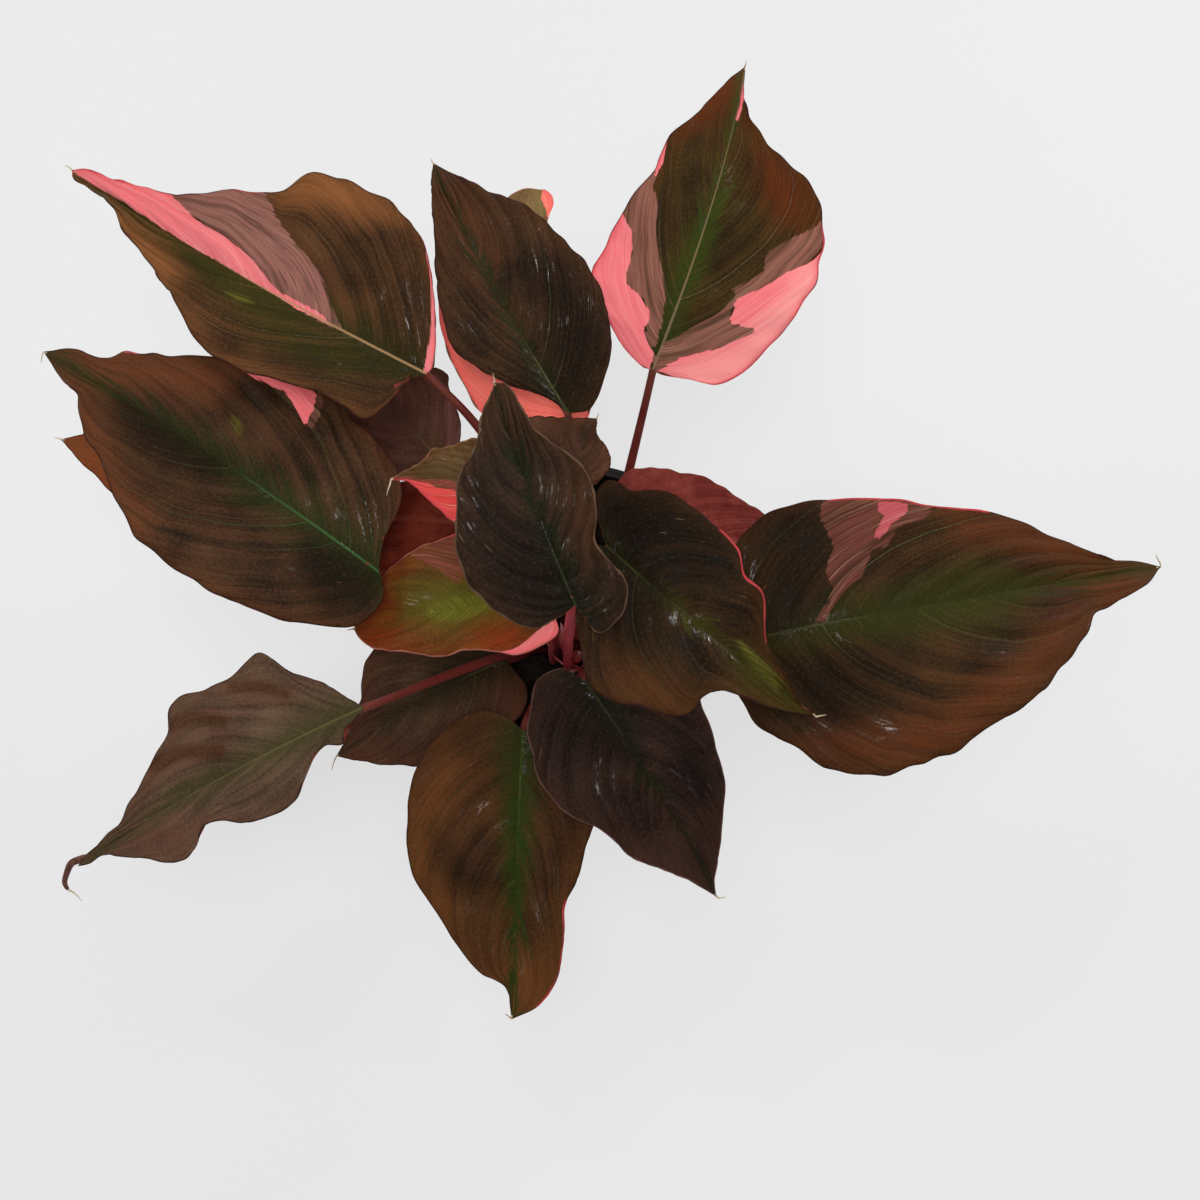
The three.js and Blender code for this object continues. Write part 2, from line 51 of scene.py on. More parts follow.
# Camera, as in the photograph
CAMERA_PLACE = (8.05, -125.13, 565.76)
CAMERA_TILT = math.radians(15)
LENS = 42
SENSOR = 36

# Studio. A light has its place in metres, its size in metres and its power in watts
FLOOR_SIZE = 3
FLOOR_GLOW = 0.59
WORLD_LIGHT = 0.12
LIGHT_AIM = (0, 0, 0.12)
LIGHTS = {
    "above": ((0.0, -0.2, 1.15), 0.5, 4.4),
    "key": ((0.95, 0.65, 0.7), 0.4, 5.5),
    "left": ((-1.05, 0.35, 0.8), 0.6, 3.2),
    "back": ((-0.1, 1.1, 0.85), 0.6, 2),
    "front": ((-0.1, -1.15, 0.8), 0.7, 1.8),
    "glint": ((-0.3, 0.55, 1.2), 0.12, 0.9),
}

# Pot and soil
POT_HEIGHT = 92
POT_MOUTH_RADIUS = 52.5
POT_FOOT_RADIUS = 37
POT_WALL = 1.5
POT_FLOOR = 2
POT_SEGMENTS = 128
LIP_HEIGHT = 10
LIP_STEP = 2
LIP_BEAD = 0.5
BEAD_WIDTH = 1.6
BEAD_SLOPE = 0.4
POT_ROUNDING = 0.35
DRAIN_HOLES = 6
DRAIN_RADIUS = 3.5
DRAIN_RING = 25
DRAIN_SEGMENTS = 28
SOIL_TOP = 78
SOIL_MOUND = 2
SOIL_BUMP = 1
BUMP_SPACING = 19
SOIL_RINGS = 44
SOIL_SEGMENTS = 120
SOIL_SIDE_GAP = 0.1
SOIL_FOOT_GAP = 0.3
SOIL_FLOOR_GAP = 0.35
CRUMB = 0.9
CRUMB_SIZES = ((6, 0.5), (2.6, 0.35), (1.3, 0.25))
CHIPS = 330
CHIP_SEED = 12
CHIP_ROOM = 2.4
SMALL_CHIP = (0.8, 1.7)
LARGE_CHIP = (1.8, 3.4)
SMALL_SHARE = 0.7
CHIP_FLATNESS = 0.45
CHIP_ROUGHNESS = 0.45
CHIP_TILT = 0.5

# Leaves. The blade's rows run from the notch to the tip and its columns from the midrib to the margin
BLADE_ROWS = 112
BLADE_COLUMNS = 22
COLUMN_SPREAD = 1.2
BLADE = 0.55
NOTCH = 1.8
VEIN_SWEEP = 1.6
SIDE_SHIFT = 0.37
DROOP = 0.0032
SIDE_VEINS = 9
VEIN_DRIFT = 0.55
VEIN_DRIFTS = 6
SIDE_VEIN_SWEEP = 0.34
SIDE_VEIN_BEND = 1.45
VEIN_STRETCH = 0.3
FRILL = (1.1, 1.1)
FRILL_LENGTH = 8
BROAD_FRILL = 0.6
BROAD_FRILL_STRETCH = 2.7
PLEAT = 0.8
PLEAT_LEAST = 0.35
PLEAT_RANGE = 1.1
GROOVE = 0.35
GROOVE_WIDTH = 1.3
UNEVEN = 0.45
UNEVEN_LENGTH = 15
RUFFLE = 0.45
RUFFLE_COUNT = 13
PATCH_REACH = 20
SEED_STEP = 1.7

# The midrib under a blade, the pale thread at its tip and the one curled tail
RIB_RADIUS = 1.15
RIB_TIP_RADIUS = 0.25
RIB_TAPER = 1.3
RIB_STEPS = 40
RIB_SIDES = 8
THREAD_RADIUS = 0.42
THREAD_SIDES = 7
THREAD_STEPS = 6
TAIL_RADIUS = 1.5
TAIL_TIP_RADIUS = 0.35
TAIL_SIDES = 12
TAIL_STEPS = 40

# Stalks
STALK_RADIUS = 1.6
STALK_TOP_RADIUS = 1.25
STALK_SIDES = 14
STALK_STEPS = 46
STALK_ROOM = 0.4
CAD_BLADE = 0.8
STALK_FOOT = 0.25
STALK_LIFT = 1.1
ROOTED = 14
COLLAR = 4

# Crown, with its rolled shoots and papery sheaths
CROWN = (-2, -15)
CROWN_RADIUS = 4.5
CROWN_HEIGHT = 12
CROWN_SEGMENTS = 48
ROLL_TURNS = 1.6
ROLL_WALL = 0.35
SHEATH_WALL = 0.3
SHOOT_GRID = (44, 36)
SHEATH_GRID = (20, 30)

# How rough the skin is where it is wet
WET_ROUGHNESS = 0.16

# One entry for each leaf. base and tip are the ends of its midrib. left and right are its margins
# seen from above, from the notch to the tip: each point has the distance along the leaf from its
# base and the distance out from the midrib. arch lifts the middle of the leaf and bow pushes it
# sideways. fold is how steeply each half rises from the midrib, and wave has the height, count and
# phase of the margin's waves. The stalk stands in the soil at foot, climbs by rise, and comes to
# its leaf from reach behind and drop below. It ends seat past the base of the midrib. thread has the
# points past the tip of the pale thread that the leaf ends in, and tail those of a curled end before
# it. Where they differ from the usual, frill is how far each margin is frilled, and pleats is how
# strongly the blade is folded between its side veins.
LEAVES = {
    "upper_left": {
        "base": [-47, 59, 156], "tip": [-178, 149, 128], "arch": 12, "bow": 6.2, "fold": [0.18, 0.22],
        "left": [[2, 4], [6, 7], [3, 14], [6, 24], [20, 25], [37, 31], [61, 34], [80, 26], [99, 19],
            [119, 12], [131, 6], [145, 4], [155, 3]],
        "right": [[-1, 3], [9, 18], [21, 31], [29, 36], [42, 40], [57, 39], [70, 34], [76, 25], [89, 18],
            [104, 8], [135, 2.6], [153, 2]],
        "wave": [1.2, 4, 0.1], "foot": [-8, -4], "rise": 60, "reach": 40, "drop": 12, "seat": 1,
        "pleats": 2.6,
        "thread": [(-1.2, 1.2, 0), (-2.6, 1.6, 0.6)],
    },
    "upper_middle": {
        "base": [-2, 48, 150], "tip": [-49, 143, 142], "arch": 12, "bow": 4, "fold": [0.15, 0.25],
        "left": [[4, 2], [9, 6], [14, 13], [20, 19], [30, 24], [42, 24], [53, 21], [63, 17], [72, 13],
            [88, 8]],
        "right": [[-2, 7], [5, 16], [13, 21], [28, 25], [43, 24], [64, 18], [76, 12], [90, 5]],
        "wave": [1, 4, 0.3], "foot": [0, -1], "rise": 30, "reach": 10, "drop": 22, "seat": 1,
        "pleats": 1.9,
        "thread": [(-0.5, 0.9, 0), (-0.9, 1.9, 0.4)],
    },
    "under_upper_middle": {
        "base": [-1, 50, 138], "tip": [-13, 140, 130], "arch": 8, "bow": 0, "fold": [0.15, 0.1],
        "left": [[1, 4], [2, 15], [6, 29], [22, 36], [35, 39], [50, 38], [66, 31], [78, 21], [86, 13],
            [90, 9], [92, 5]],
        "right": [[0, 5], [10, 9], [26, 11], [42, 10], [59, 6], [70, 1], [76, 0], [81, 3], [86, 4],
            [90, 2]],
        "wave": [1, 4, 0], "foot": [4, 3], "rise": 15, "reach": 10, "drop": 22, "seat": 1,
        "thread": [],
    },
    "upper_right": {
        "base": [25, 63, 150], "tip": [58, 178, 146], "arch": 14, "bow": -4, "fold": [0.2, 0.2],
        "left": [[0, 4], [4, 11], [10, 18], [15, 24], [23, 27], [35, 24], [50, 21], [62, 17], [72, 16],
            [84, 11], [100, 6]],
        "right": [[-1, 4], [-1, 13], [-1, 21], [4, 28], [13, 33], [20, 38], [31, 41], [43, 43], [55, 41],
            [64, 37], [76, 25], [85, 14], [97, 5]],
        "wave": [1.4, 4, 0.5], "foot": [7, -1], "rise": 25, "reach": 30, "drop": 30, "seat": 1,
        "pleats": 0.7,
        "thread": [(0.4, 0.6, 1), (0.5, 2.1, 1)],
    },
    "left_big": {
        "base": [-63, 0, 134], "tip": [-187, 86, 114], "arch": 14, "bow": 0, "fold": [0.16, 0.2],
        "left": [[-5, 4], [-7, 9], [-6, 16], [-4, 20], [3, 25], [16, 32], [35, 36], [53, 37], [67, 36],
            [80, 31], [97, 22], [111, 16], [123, 8], [135, 5]],
        "right": [[3, 5], [6, 13], [6, 19], [9, 25], [15, 30], [28, 34], [39, 36.5], [49, 37.5], [69, 32],
            [84, 29], [97, 22], [109, 17], [118, 14], [122, 9], [128, 7], [138, 6]],
        "wave": [1.3, 4, 0.2], "foot": [-14, -8], "rise": 6, "reach": 0, "drop": 26, "seat": 5,
        "pleats": 2.2,
        "thread": [(-0.5, -1.6, 0), (-1.4, -3.3, -2)],
    },
    "under_left": {
        "base": [-80, 27, 104], "tip": [-190, 65, 84], "arch": 5, "bow": 0, "fold": [0.12, 0.12],
        "left": [[-3, 8], [8, 23], [36, 27], [66, 22], [90, 13], [105, 6]],
        "right": [[1, 7], [14, 15], [45, 21], [81, 18], [108, 4]],
        "wave": [1.2, 4, 0.6], "foot": [-15, -3], "rise": 14, "reach": 25, "drop": 4, "seat": 1,
        "thread": [(-1.2, 0.5, 0), (-2.4, 0.6, 0.4)],
    },
    "lower_left": {
        "base": [-67, -43, 128], "tip": [-171, -89, 78], "arch": 16, "bow": 1.5, "fold": [0.28, 0.3],
        "left": [[4, 3], [8, 5], [10, 9], [16, 7], [22, 11], [30, 20], [44, 20], [54, 15], [60, 14],
            [66, 19], [71, 20], [83, 14], [95, 6], [102, 2], [108, 2]],
        "right": [[4, 5], [9, 12], [17, 19], [24, 28], [38, 25], [51, 26], [57, 25], [61, 19], [74, 11],
            [89, 4], [98, 2], [104, 1], [110, 1]],
        "wave": [1.6, 4, 0.1], "foot": [-10, -15], "rise": 30, "reach": 30, "drop": 3, "seat": 1,
        "pleats": 1.4,
        "tail": [(1.5, 2.4, 1), (-2.4, 1, 0), (-4.8, -2, -3), (-6, -5.2, -5)],
        "thread": [(-5, -7.6, -6), (-2.6, -8.8, -6), (0.9, -11.5, -4)],
    },
    "under_lower_left": {
        "base": [-24, -22, 104], "tip": [-83, -52, 84], "arch": 8, "bow": 0, "fold": [0.14, 0.14],
        "left": [[-1, 6], [-2, 12], [0, 17], [7, 21], [17, 25], [30, 24], [42, 19], [52, 12], [61, 5]],
        "right": [[-1, 7], [6, 15], [18, 21], [31, 24], [39, 23], [46, 17], [50, 11], [59, 4]],
        "wave": [1.2, 4, 0.4], "foot": [-15, -13], "rise": 6, "reach": 8, "drop": 10, "seat": 1,
        "thread": [(-1.1, -1.8, -1), (-1.8, -4.5, -2)],
    },
    "bottom": {
        "base": [-17, -49, 118], "tip": [-21, -139, 84], "arch": 12, "bow": 0.5, "fold": [0.2, 0.2],
        "left": [[-2, 4], [1, 12], [11, 20], [22, 24], [32, 23], [43, 21], [55, 16], [63, 16], [72, 16],
            [79, 14], [86, 8]],
        "right": [[-4, 5], [-6, 12], [-4, 18], [2, 25], [13, 32], [24, 35], [36, 35], [45, 33], [51, 30],
            [58, 24], [66, 19], [76, 10], [80, 2]],
        "wave": [1.3, 4, 0.7], "foot": [-8, -26], "rise": 12, "reach": 12, "drop": 14, "seat": 1,
        "pleats": 1.5,
        "thread": [(-1.2, 0.9, 1), (-2.1, 1.6, 3)],
    },
    "bottom_right": {
        "base": [3, -37, 142], "tip": [45, -101, 112], "arch": 10, "bow": 0.5, "fold": [0.15, 0.2],
        "left": [[-1, 5], [2, 14], [11, 23], [22, 27], [29, 26], [40, 23], [52, 18], [63, 10], [72, 2]],
        "right": [[-4, 2], [-7, 4], [-8, 10], [-5, 15], [3, 22], [12, 26], [23, 28], [34, 26], [41, 21],
            [52, 17], [60, 11], [70, 4]],
        "wave": [1, 3, 0.2], "foot": [3, -24], "rise": 30, "reach": 6, "drop": 22, "seat": 1,
        "pleats": 1.5,
        "thread": [(1.1, -0.5, 0), (3, -0.2, 1)],
    },
    "right_big": {
        "base": [55, -24, 142], "tip": [193, 5, 122], "arch": 16, "bow": -2.8, "fold": [0.2, 0.16],
        "frill": [0.5, 2],
        "left": [[-2, 6], [-3, 16], [2, 30], [10, 35], [19, 37], [28, 37], [39, 35], [54, 31], [73, 25],
            [87, 20], [100, 13], [118, 4], [133, 2]],
        "right": [[-5, 4], [-9, 11], [-7, 19], [-4, 28], [5, 37], [13, 45], [28, 50], [45, 49], [62, 43],
            [74, 39], [88, 31], [101, 22], [107, 15], [132, 6]],
        "wave": [1.4, 5, 0], "foot": [8, -18], "rise": 35, "reach": 30, "drop": 18, "seat": 1,
        "pleats": 1.9,
        "thread": [(-0.3, 1.1, 1), (-1.9, 2.3, 3), (-3.4, 2.4, 6)],
    },
    "centre_right": {
        "base": [10, -3, 172], "tip": [73, -50, 150], "arch": 12, "bow": -4, "fold": [0.2, 0.25],
        "left": [[-4, 3], [-12, 10], [-13, 16], [-8, 18], [-3, 18], [5, 22], [13, 23], [22, 23], [32, 21],
            [38, 16], [46, 14], [55, 5], [64, 2], [72, -1]],
        "right": [[-1, 5], [1, 13], [6, 22], [14, 31], [22, 37], [30, 38], [37, 34], [42, 33], [46, 31],
            [49, 26], [49, 20], [53, 14], [59, 12], [69, 7]],
        "wave": [1.3, 3, 0.3], "foot": [6, -10], "rise": 60, "reach": 4, "drop": 30, "seat": 1,
        "pleats": 1.7,
        "thread": [(1.2, 0.2, 0), (2.9, 0.3, 1)],
    },
    "centre": {
        "base": [1, -25, 188], "tip": [-22, 38, 196], "arch": 6, "bow": 1.5, "fold": [0.2, 0.2],
        "left": [[-2, 5], [-3, 14], [2, 20], [9, 24], [14, 26], [22, 26], [32, 23], [42, 18], [51, 10],
            [58, 7], [63, 3]],
        "right": [[-5, 2], [-9, 4], [-9, 8], [-6, 14], [0, 16], [6, 13], [13, 11], [20, 14], [27, 15],
            [36, 13], [47, 6], [55, 5], [65, 3]],
        "wave": [1, 3, 0], "foot": [-3, -23], "rise": 60, "reach": 0, "drop": 30, "seat": 3,
        "pleats": 2,
        "thread": [(-0.1, 0.8, 1), (-0.3, 1.5, 3)],
    },
    "centre_left": {
        "base": [-9, 19, 158], "tip": [-56, 22, 160], "arch": 4, "bow": 0, "fold": [0.1, 0.3],
        "left": [[-3, 6], [0, 15], [9, 19], [18, 18], [26, 14], [32, 9], [38, 4], [42, 1]],
        "right": [[2, 3], [9, 8], [15, 12], [21, 13], [28, 10], [35, 8], [37, 5], [44, 2]],
        "wave": [0.8, 3, 0.5], "foot": [-4, -7], "rise": 40, "reach": 4, "drop": 30, "seat": 1,
        "thread": [(-0.4, -1.6, 0), (-1.1, -3.2, -1), (-1.7, -4.1, -3)],
    },
    "red_underside": {
        "base": [-26, 20, 116], "tip": [-71, 27, 106], "arch": 5, "bow": 0, "fold": [0.1, 0.1],
        "left": [[-2, 7], [3, 17], [16, 21], [32, 22], [40, 18], [45, 9]],
        "right": [[1, 5], [9, 9], [22, 12], [36, 13], [44, 8]],
        "wave": [0.8, 3, 0.1], "foot": [-12, 1], "rise": 12, "reach": 8, "drop": 12, "seat": 1,
        "thread": [(-1.2, 0.2, -0.3), (-2.4, 0.3, -0.8)],
    },
    "amber": {
        "base": [-12, -11, 140], "tip": [-73, -15, 118], "arch": 5, "bow": 0, "fold": [0.18, 0.1],
        "left": [[-4, 2], [-6, 8], [-6, 12], [-1, 16], [8, 17], [17, 15], [34, 15], [45, 12], [54, 9],
            [59, 4]],
        "right": [[-3, 5], [0, 13], [11, 21], [24, 25], [30, 24], [38, 21], [49, 16], [55, 8]],
        "wave": [1, 4, 0.3], "foot": [-9, -9], "rise": 30, "reach": 3, "drop": 25, "seat": 1,
        "thread": [(-1.2, -0.1, -0.3), (-2.3, -0.3, -0.6)],
    },
    "behind_left": {
        "base": [-47, 46, 112], "tip": [-90, 95, 100], "arch": 4, "bow": 0, "fold": [0.15, 0.12],
        "left": [[1, 5], [4, 14], [9, 20], [19, 21], [32, 19], [45, 15], [56, 8]],
        "right": [[-2, 5], [0, 9], [12, 17], [19, 19], [23, 22], [31, 19], [47, 13], [61, 7]],
        "wave": [1, 3, 0.4], "foot": [-8, 4], "rise": 12, "reach": 15, "drop": 8, "seat": 1,
        "thread": [(-1, 1, 0), (-1.8, 1.9, 0.3)],
    },
    "behind_top": {
        "base": [-4, 16, 158], "tip": [7, 46, 150], "arch": 3, "bow": 0, "fold": [0.12, 0.12],
        "left": [[1, 3], [8, 11], [15, 17], [21, 20], [25, 15], [29, 6]],
        "right": [[1, 4], [7, 8], [12, 10], [17, 10], [22, 7], [25, 3]],
        "wave": [0.8, 2, 0.2], "foot": [1, -6], "rise": 40, "reach": 4, "drop": 30, "seat": 1,
        "thread": [(0.4, 1.1, 0), (0.7, 2, 0.3)],
    },
    "behind_right": {
        "base": [16, 17, 136], "tip": [76, 10, 112], "arch": 5, "bow": 0, "fold": [0.15, 0.15],
        "left": [[-3, 4], [-4, 10], [-2, 14], [2, 17], [13, 19], [25, 18], [36, 15], [47, 11], [54, 7]],
        "right": [[0, 6], [7, 17], [24, 22], [41, 16], [55, 7]],
        "wave": [1, 3, 0.6], "foot": [11, -5], "rise": 25, "reach": 3, "drop": 25, "seat": 1,
        "thread": [(1.2, -0.2, -0.3), (2.4, -0.4, -0.6)],
    },
}

# Patches on the upper side: a kind and an outline, each point with the distance along the leaf from
# its base and the distance out from the midrib, to the left positive. pink is skin without green,
# pale a whiter part of it and half skin with green in part. warm, green and yellow are tones of the
# brown skin, dark makes it darker, crease is painted shade in the creases, red is a margin that
# blushes, and wet is where the skin shines.
PATCHES = {
    "upper_left": [
        ("pink", [(24, -33), (19, -31), (12, -24), (7, -18), (2, -8), (-2, 1), (1, 0), (5, -9), (10, -17),
                 (15, -24)]),
        ("red", [(28, -36), (10, -25), (3, -15), (-5, 1), (-6, 6), (-12, -10), (6, -32), (24, -42)]),
        ("red", [(167, -1), (124, -8), (84, -23), (82, -21), (120, -4), (155, 2)]),
        ("green", [(140, 3), (88, 6), (43, 9), (5, 6), (22, 20), (54, 21), (91, 12)]),
        ("wet", [(25, -19), (17, -23), (6, -12), (6, -4), (14, -7)]),
        ("wet", [(23, 1), (18, 0), (10, 4), (14, 6)]),
        ("yellow", [(69, 14), (62, 12), (59, 13), (64, 15)]),
        ("warm", [(130, 6), (119, 11), (106, 16), (97, 20), (90, 21), (87, 17), (95, 12), (108, 10),
                 (120, 7)]),
        ("pink", [(163, -3), (152, -4), (142, -4), (129, -6), (118, -7), (111, -7), (108, -5), (100, -3),
                 (91, -2), (83, -2), (75, -1), (68, 0), (63, 2), (57, 4), (51, 4), (39, 3), (34, 5),
                 (38, 5), (46, 6), (54, 6), (64, 6), (76, 6), (94, 6), (108, 5), (129, 3), (147, 2),
                 (156, 1)]),
        ("half", [(114, -7), (103, -12), (91, -20), (85, -22), (78, -20), (72, -16), (66, -13), (61, -11),
                 (54, -10), (47, -7), (41, -4), (37, -1), (31, 3), (30, 4), (38, 6), (46, 6), (55, 6),
                 (61, 3), (68, 1), (75, 0), (84, -1), (93, -2), (101, -3), (108, -5)]),
        ("warm", [(76, -27), (71, -33), (60, -37), (44, -38), (37, -37), (44, -31), (56, -27), (67, -23),
                 (72, -21)]),
    ],
    "left_big": [
        ("red", [(100, -25), (93, -29), (82, -31), (71, -32), (62, -36), (78, -36), (94, -32)]),
        ("pink", [(84, -30), (76, -30), (70, -31), (63, -32), (56, -34), (51, -36), (49, -34), (47, -30),
                 (46, -24), (50, -26), (56, -29), (59, -30), (65, -29), (73, -28), (79, -28)]),
        ("half", [(51, -36), (48, -36), (45, -32), (43, -26), (45, -24), (47, -26), (48, -30)]),
        ("pink", [(120, -13), (117, -17), (112, -19), (114, -15)]),
        ("dark", [(110, 0), (86, -1), (60, 0), (61, 10), (84, 11), (103, 8)]),
        ("dark", [(27, 4), (7, 1), (-2, 2), (-6, 12), (4, 20), (22, 16)]),
        ("yellow", [(69, -14), (66, -14), (62, -11), (63, -10), (67, -12)]),
        ("wet", [(60, -4), (51, -7), (39, -3), (21, -3), (23, 1), (39, 2), (51, 1)]),
        ("wet", [(43, -15), (40, -19), (29, -15), (18, -7), (22, -4), (32, -9)]),
        ("wet", [(22, -16), (15, -17), (7, -13), (6, -4), (11, -4), (17, -9)]),
        ("wet", [(123, 7), (117, 6), (104, 11), (104, 15), (113, 13)]),
        ("warm", [(141, 0), (132, -8), (112, -14), (91, -23), (79, -26), (78, -15), (93, -9), (112, -3),
                 (122, 5), (131, 4)]),
        ("warm", [(119, 8), (104, 13), (85, 23), (68, 29), (69, 33), (83, 30), (101, 20), (116, 13)]),
    ],
    "upper_right": [
        ("red", [(67, 23), (29, 29), (11, 26), (-2, 0), (-4, -14), (1, -30), (24, -41), (52, -44),
                 (59, -37), (20, -39), (0, -16), (0, 1), (15, 22), (42, 26)]),
        ("pale", [(46, -36), (30, -34), (12, -24), (0, -6), (-6, -20), (10, -40), (30, -48), (48, -46)]),
        ("pink", [(43, 23), (38, 18), (33, 16), (30, 16), (25, 16), (22, 15), (19, 10), (16, 6), (13, 5),
                 (10, 6), (6, 3), (5, 1), (-1, 1), (0, 5), (3, 11), (9, 19), (15, 25), (23, 27), (36, 25)]),
        ("half", [(71, 16), (62, 16), (55, 16), (49, 13), (38, 10), (31, 6), (21, 2), (15, 1), (7, 1),
                 (4, 3), (9, 5), (14, 6), (19, 8), (21, 14), (25, 17), (32, 16), (41, 23), (52, 21),
                 (62, 19)]),
        ("half", [(58, -40), (48, -42), (43, -39), (37, -34), (30, -27), (25, -21), (23, -20), (19, -20),
                 (19, -27), (18, -30), (15, -27), (13, -24), (9, -19), (7, -14), (5, -8), (2, -5), (-1, -1),
                 (3, 1), (9, -2), (14, -8), (20, -16), (26, -20), (28, -18), (31, -21), (36, -26),
                 (41, -25), (45, -27), (50, -32), (52, -35)]),
        ("pink", [(54, -42), (48, -42), (43, -39), (37, -33), (30, -26), (25, -20), (18, -20), (18, -29),
                 (16, -27), (10, -19), (5, -8), (0, -2), (-2, -13), (-2, -21), (3, -29), (12, -34),
                 (20, -39), (30, -42), (43, -44)]),
        ("green", [(2, 0), (13, -2), (24, -5), (36, -7), (48, -6), (47, -2), (36, 0), (21, 2), (8, 2)]),
        ("warm", [(79, -14), (75, -23), (65, -32), (56, -38), (52, -34), (54, -26), (62, -19)]),
        ("warm", [(95, 10), (108, 5), (108, 0), (96, 2), (84, 7), (77, 12)]),
        ("pink", [(118, -1), (108, -4), (101, -4), (97, -4), (90, -4), (91, -3), (98, -3), (105, -2)]),
        ("pink", [(80, 15), (74, 16), (65, 15), (59, 16), (65, 18), (73, 18), (80, 17)]),
    ],
    "right_big": [
        ("red", [(32, 39), (54, 33), (81, 25), (80, 21), (54, 29), (33, 34)]),
        ("half", [(31, 37), (45, 34), (56, 31), (65, 28), (60, 24), (52, 23), (46, 18), (41, 17), (40, 15),
                 (37, 11), (31, 7), (26, 3), (22, 0), (18, -1), (20, 1), (25, 5), (27, 8), (26, 12),
                 (28, 18), (30, 21), (30, 25), (28, 30)]),
        ("green", [(15, 0), (31, 3), (47, 4), (64, 8), (81, 7), (88, -3), (74, -14), (56, -11), (40, -11),
                 (22, -8)]),
        ("dark", [(14, 36), (30, 35), (29, 17), (26, 5), (15, 0), (6, -2), (9, 19)]),
        ("dark", [(7, -9), (28, -10), (42, -20), (32, -30), (16, -32), (6, -23)]),
        ("wet", [(29, -31), (34, -34), (35, -40), (30, -39)]),
        ("wet", [(54, -10), (65, -18), (75, -23), (73, -25), (61, -20), (54, -14)]),
        ("wet", [(104, -9), (110, -11), (103, -22), (101, -19)]),
        ("wet", [(4, 29), (7, 23), (4, 16), (2, 20)]),
        ("pink", [(47, 32), (56, 29), (54, 26), (49, 24), (45, 20), (42, 18), (44, 23), (48, 27),
                 (46, 29)]),
        ("warm", [(108, -1), (121, 3), (132, 1), (138, -1), (125, -7), (112, -10)]),
        ("warm", [(71, 22), (87, 18), (103, 11), (113, 4), (102, 5), (82, 12), (70, 15)]),
        ("wet", [(9, -30), (19, -34), (30, -39), (29, -40), (18, -37), (8, -32)]),
        ("warm", [(6, -37), (19, -45), (33, -49), (49, -47), (63, -40), (79, -33), (92, -22), (101, -12),
                 (95, -14), (81, -24), (64, -30), (49, -35), (30, -36), (13, -32)]),
    ],
    "centre_left": [
        ("red", [(47, 0), (38, -2), (28, 2), (20, 9), (28, 14), (41, 6)]),
        ("pink", [(48, 1), (44, 0), (35, 2), (27, 4), (21, 6), (14, 9), (6, 14), (0, 16), (9, 21),
                 (18, 19), (26, 15), (33, 10), (38, 5), (43, 2)]),
        ("half", [(46, -1), (35, 0), (25, 1), (13, 4), (0, 5), (0, 13), (13, 10), (22, 6), (31, 3),
                 (41, 1)]),
    ],
    "amber": [
        ("red", [(56, -18), (44, -23), (27, -24), (14, -22), (14, -28), (45, -29), (57, -24)]),
        ("half", [(40, -20), (33, -23), (24, -25), (19, -22), (17, -10), (26, -8), (30, -13), (35, -16)]),
        ("warm", [(16, 7), (8, 7), (3, 12), (5, 15), (11, 16), (17, 15)]),
        ("pink", [(19, 17), (12, 16), (6, 15), (2, 12), (-2, 9), (-6, 7), (-7, 12), (-2, 17), (8, 18)]),
        ("wet", [(46, -6), (31, -7), (26, -1), (34, 3), (45, -1)]),
        ("yellow", [(36, 0), (31, -4), (23, -4), (15, -4), (12, 0), (16, 3), (26, 5), (33, 3)]),
        ("green", [(44, -9), (30, -12), (17, -10), (10, -4), (12, 6), (28, 6), (41, -1)]),
        ("warm", [(62, 0), (59, -5), (51, -6), (46, -1), (50, 6), (57, 5)]),
        ("warm", [(21, 2), (10, -1), (5, 6), (12, 14), (18, 12)]),
    ],
    "centre_right": [
        ("red", [(26, 26), (36, 20), (44, 16), (56, 8), (53, 3), (44, 10), (33, 16), (24, 20)]),
        ("green", [(48, -3), (58, -1), (70, -2), (78, -1), (69, -7), (57, -9)]),
        ("warm", [(13, -21), (26, -33), (37, -35), (49, -26), (43, -23), (31, -26), (21, -22)]),
        ("dark", [(-11, 11), (4, 21), (25, 22), (38, 14), (30, 4), (15, -3), (2, -1)]),
        ("wet", [(32, -7), (39, -5), (52, -5), (56, -8), (48, -10), (38, -12)]),
        ("wet", [(9, 0), (18, 2), (22, -6), (14, -8)]),
        ("wet", [(49, 1), (60, 0), (70, -2), (65, -5), (54, -3)]),
        ("dark", [(-5, -1), (7, 8), (19, 7), (25, -3), (31, -18), (25, -27), (17, -25), (6, -18)]),
        ("yellow", [(48, 0), (52, 0), (58, 0), (65, -1), (64, -3), (57, -3), (51, -2)]),
    ],
    "centre": [
        ("dark", [(27, 12), (19, 3), (4, 1), (4, 12), (14, 18), (26, 18)]),
        ("warm", [(34, -13), (23, -15), (12, -12), (9, -7), (21, -6)]),
        ("wet", [(58, 13), (53, 9), (34, 16), (19, 23), (30, 22), (47, 17)]),
        ("wet", [(24, 2), (21, -3), (10, -4), (7, 2), (13, 4)]),
        ("wet", [(5, -7), (4, -15), (-1, -14), (-6, -7), (-1, -4)]),
    ],
    "bottom": [
        ("red", [(52, 17), (71, 16), (87, 11), (85, 7), (71, 12), (53, 12)]),
        ("warm", [(30, -34), (18, -31), (8, -23), (14, -16), (30, -24), (45, -27), (57, -20), (56, -26),
                 (45, -32)]),
        ("green", [(5, -7), (19, -3), (38, -2), (53, -1), (53, 2), (38, 1), (19, 0), (5, -3)]),
        ("dark", [(33, -27), (42, -17), (47, -8), (54, -11), (48, -20)]),
        ("wet", [(62, -4), (61, 2), (71, 7), (79, 4), (73, -1)]),
        ("wet", [(41, 4), (47, 11), (62, 10), (56, 5)]),
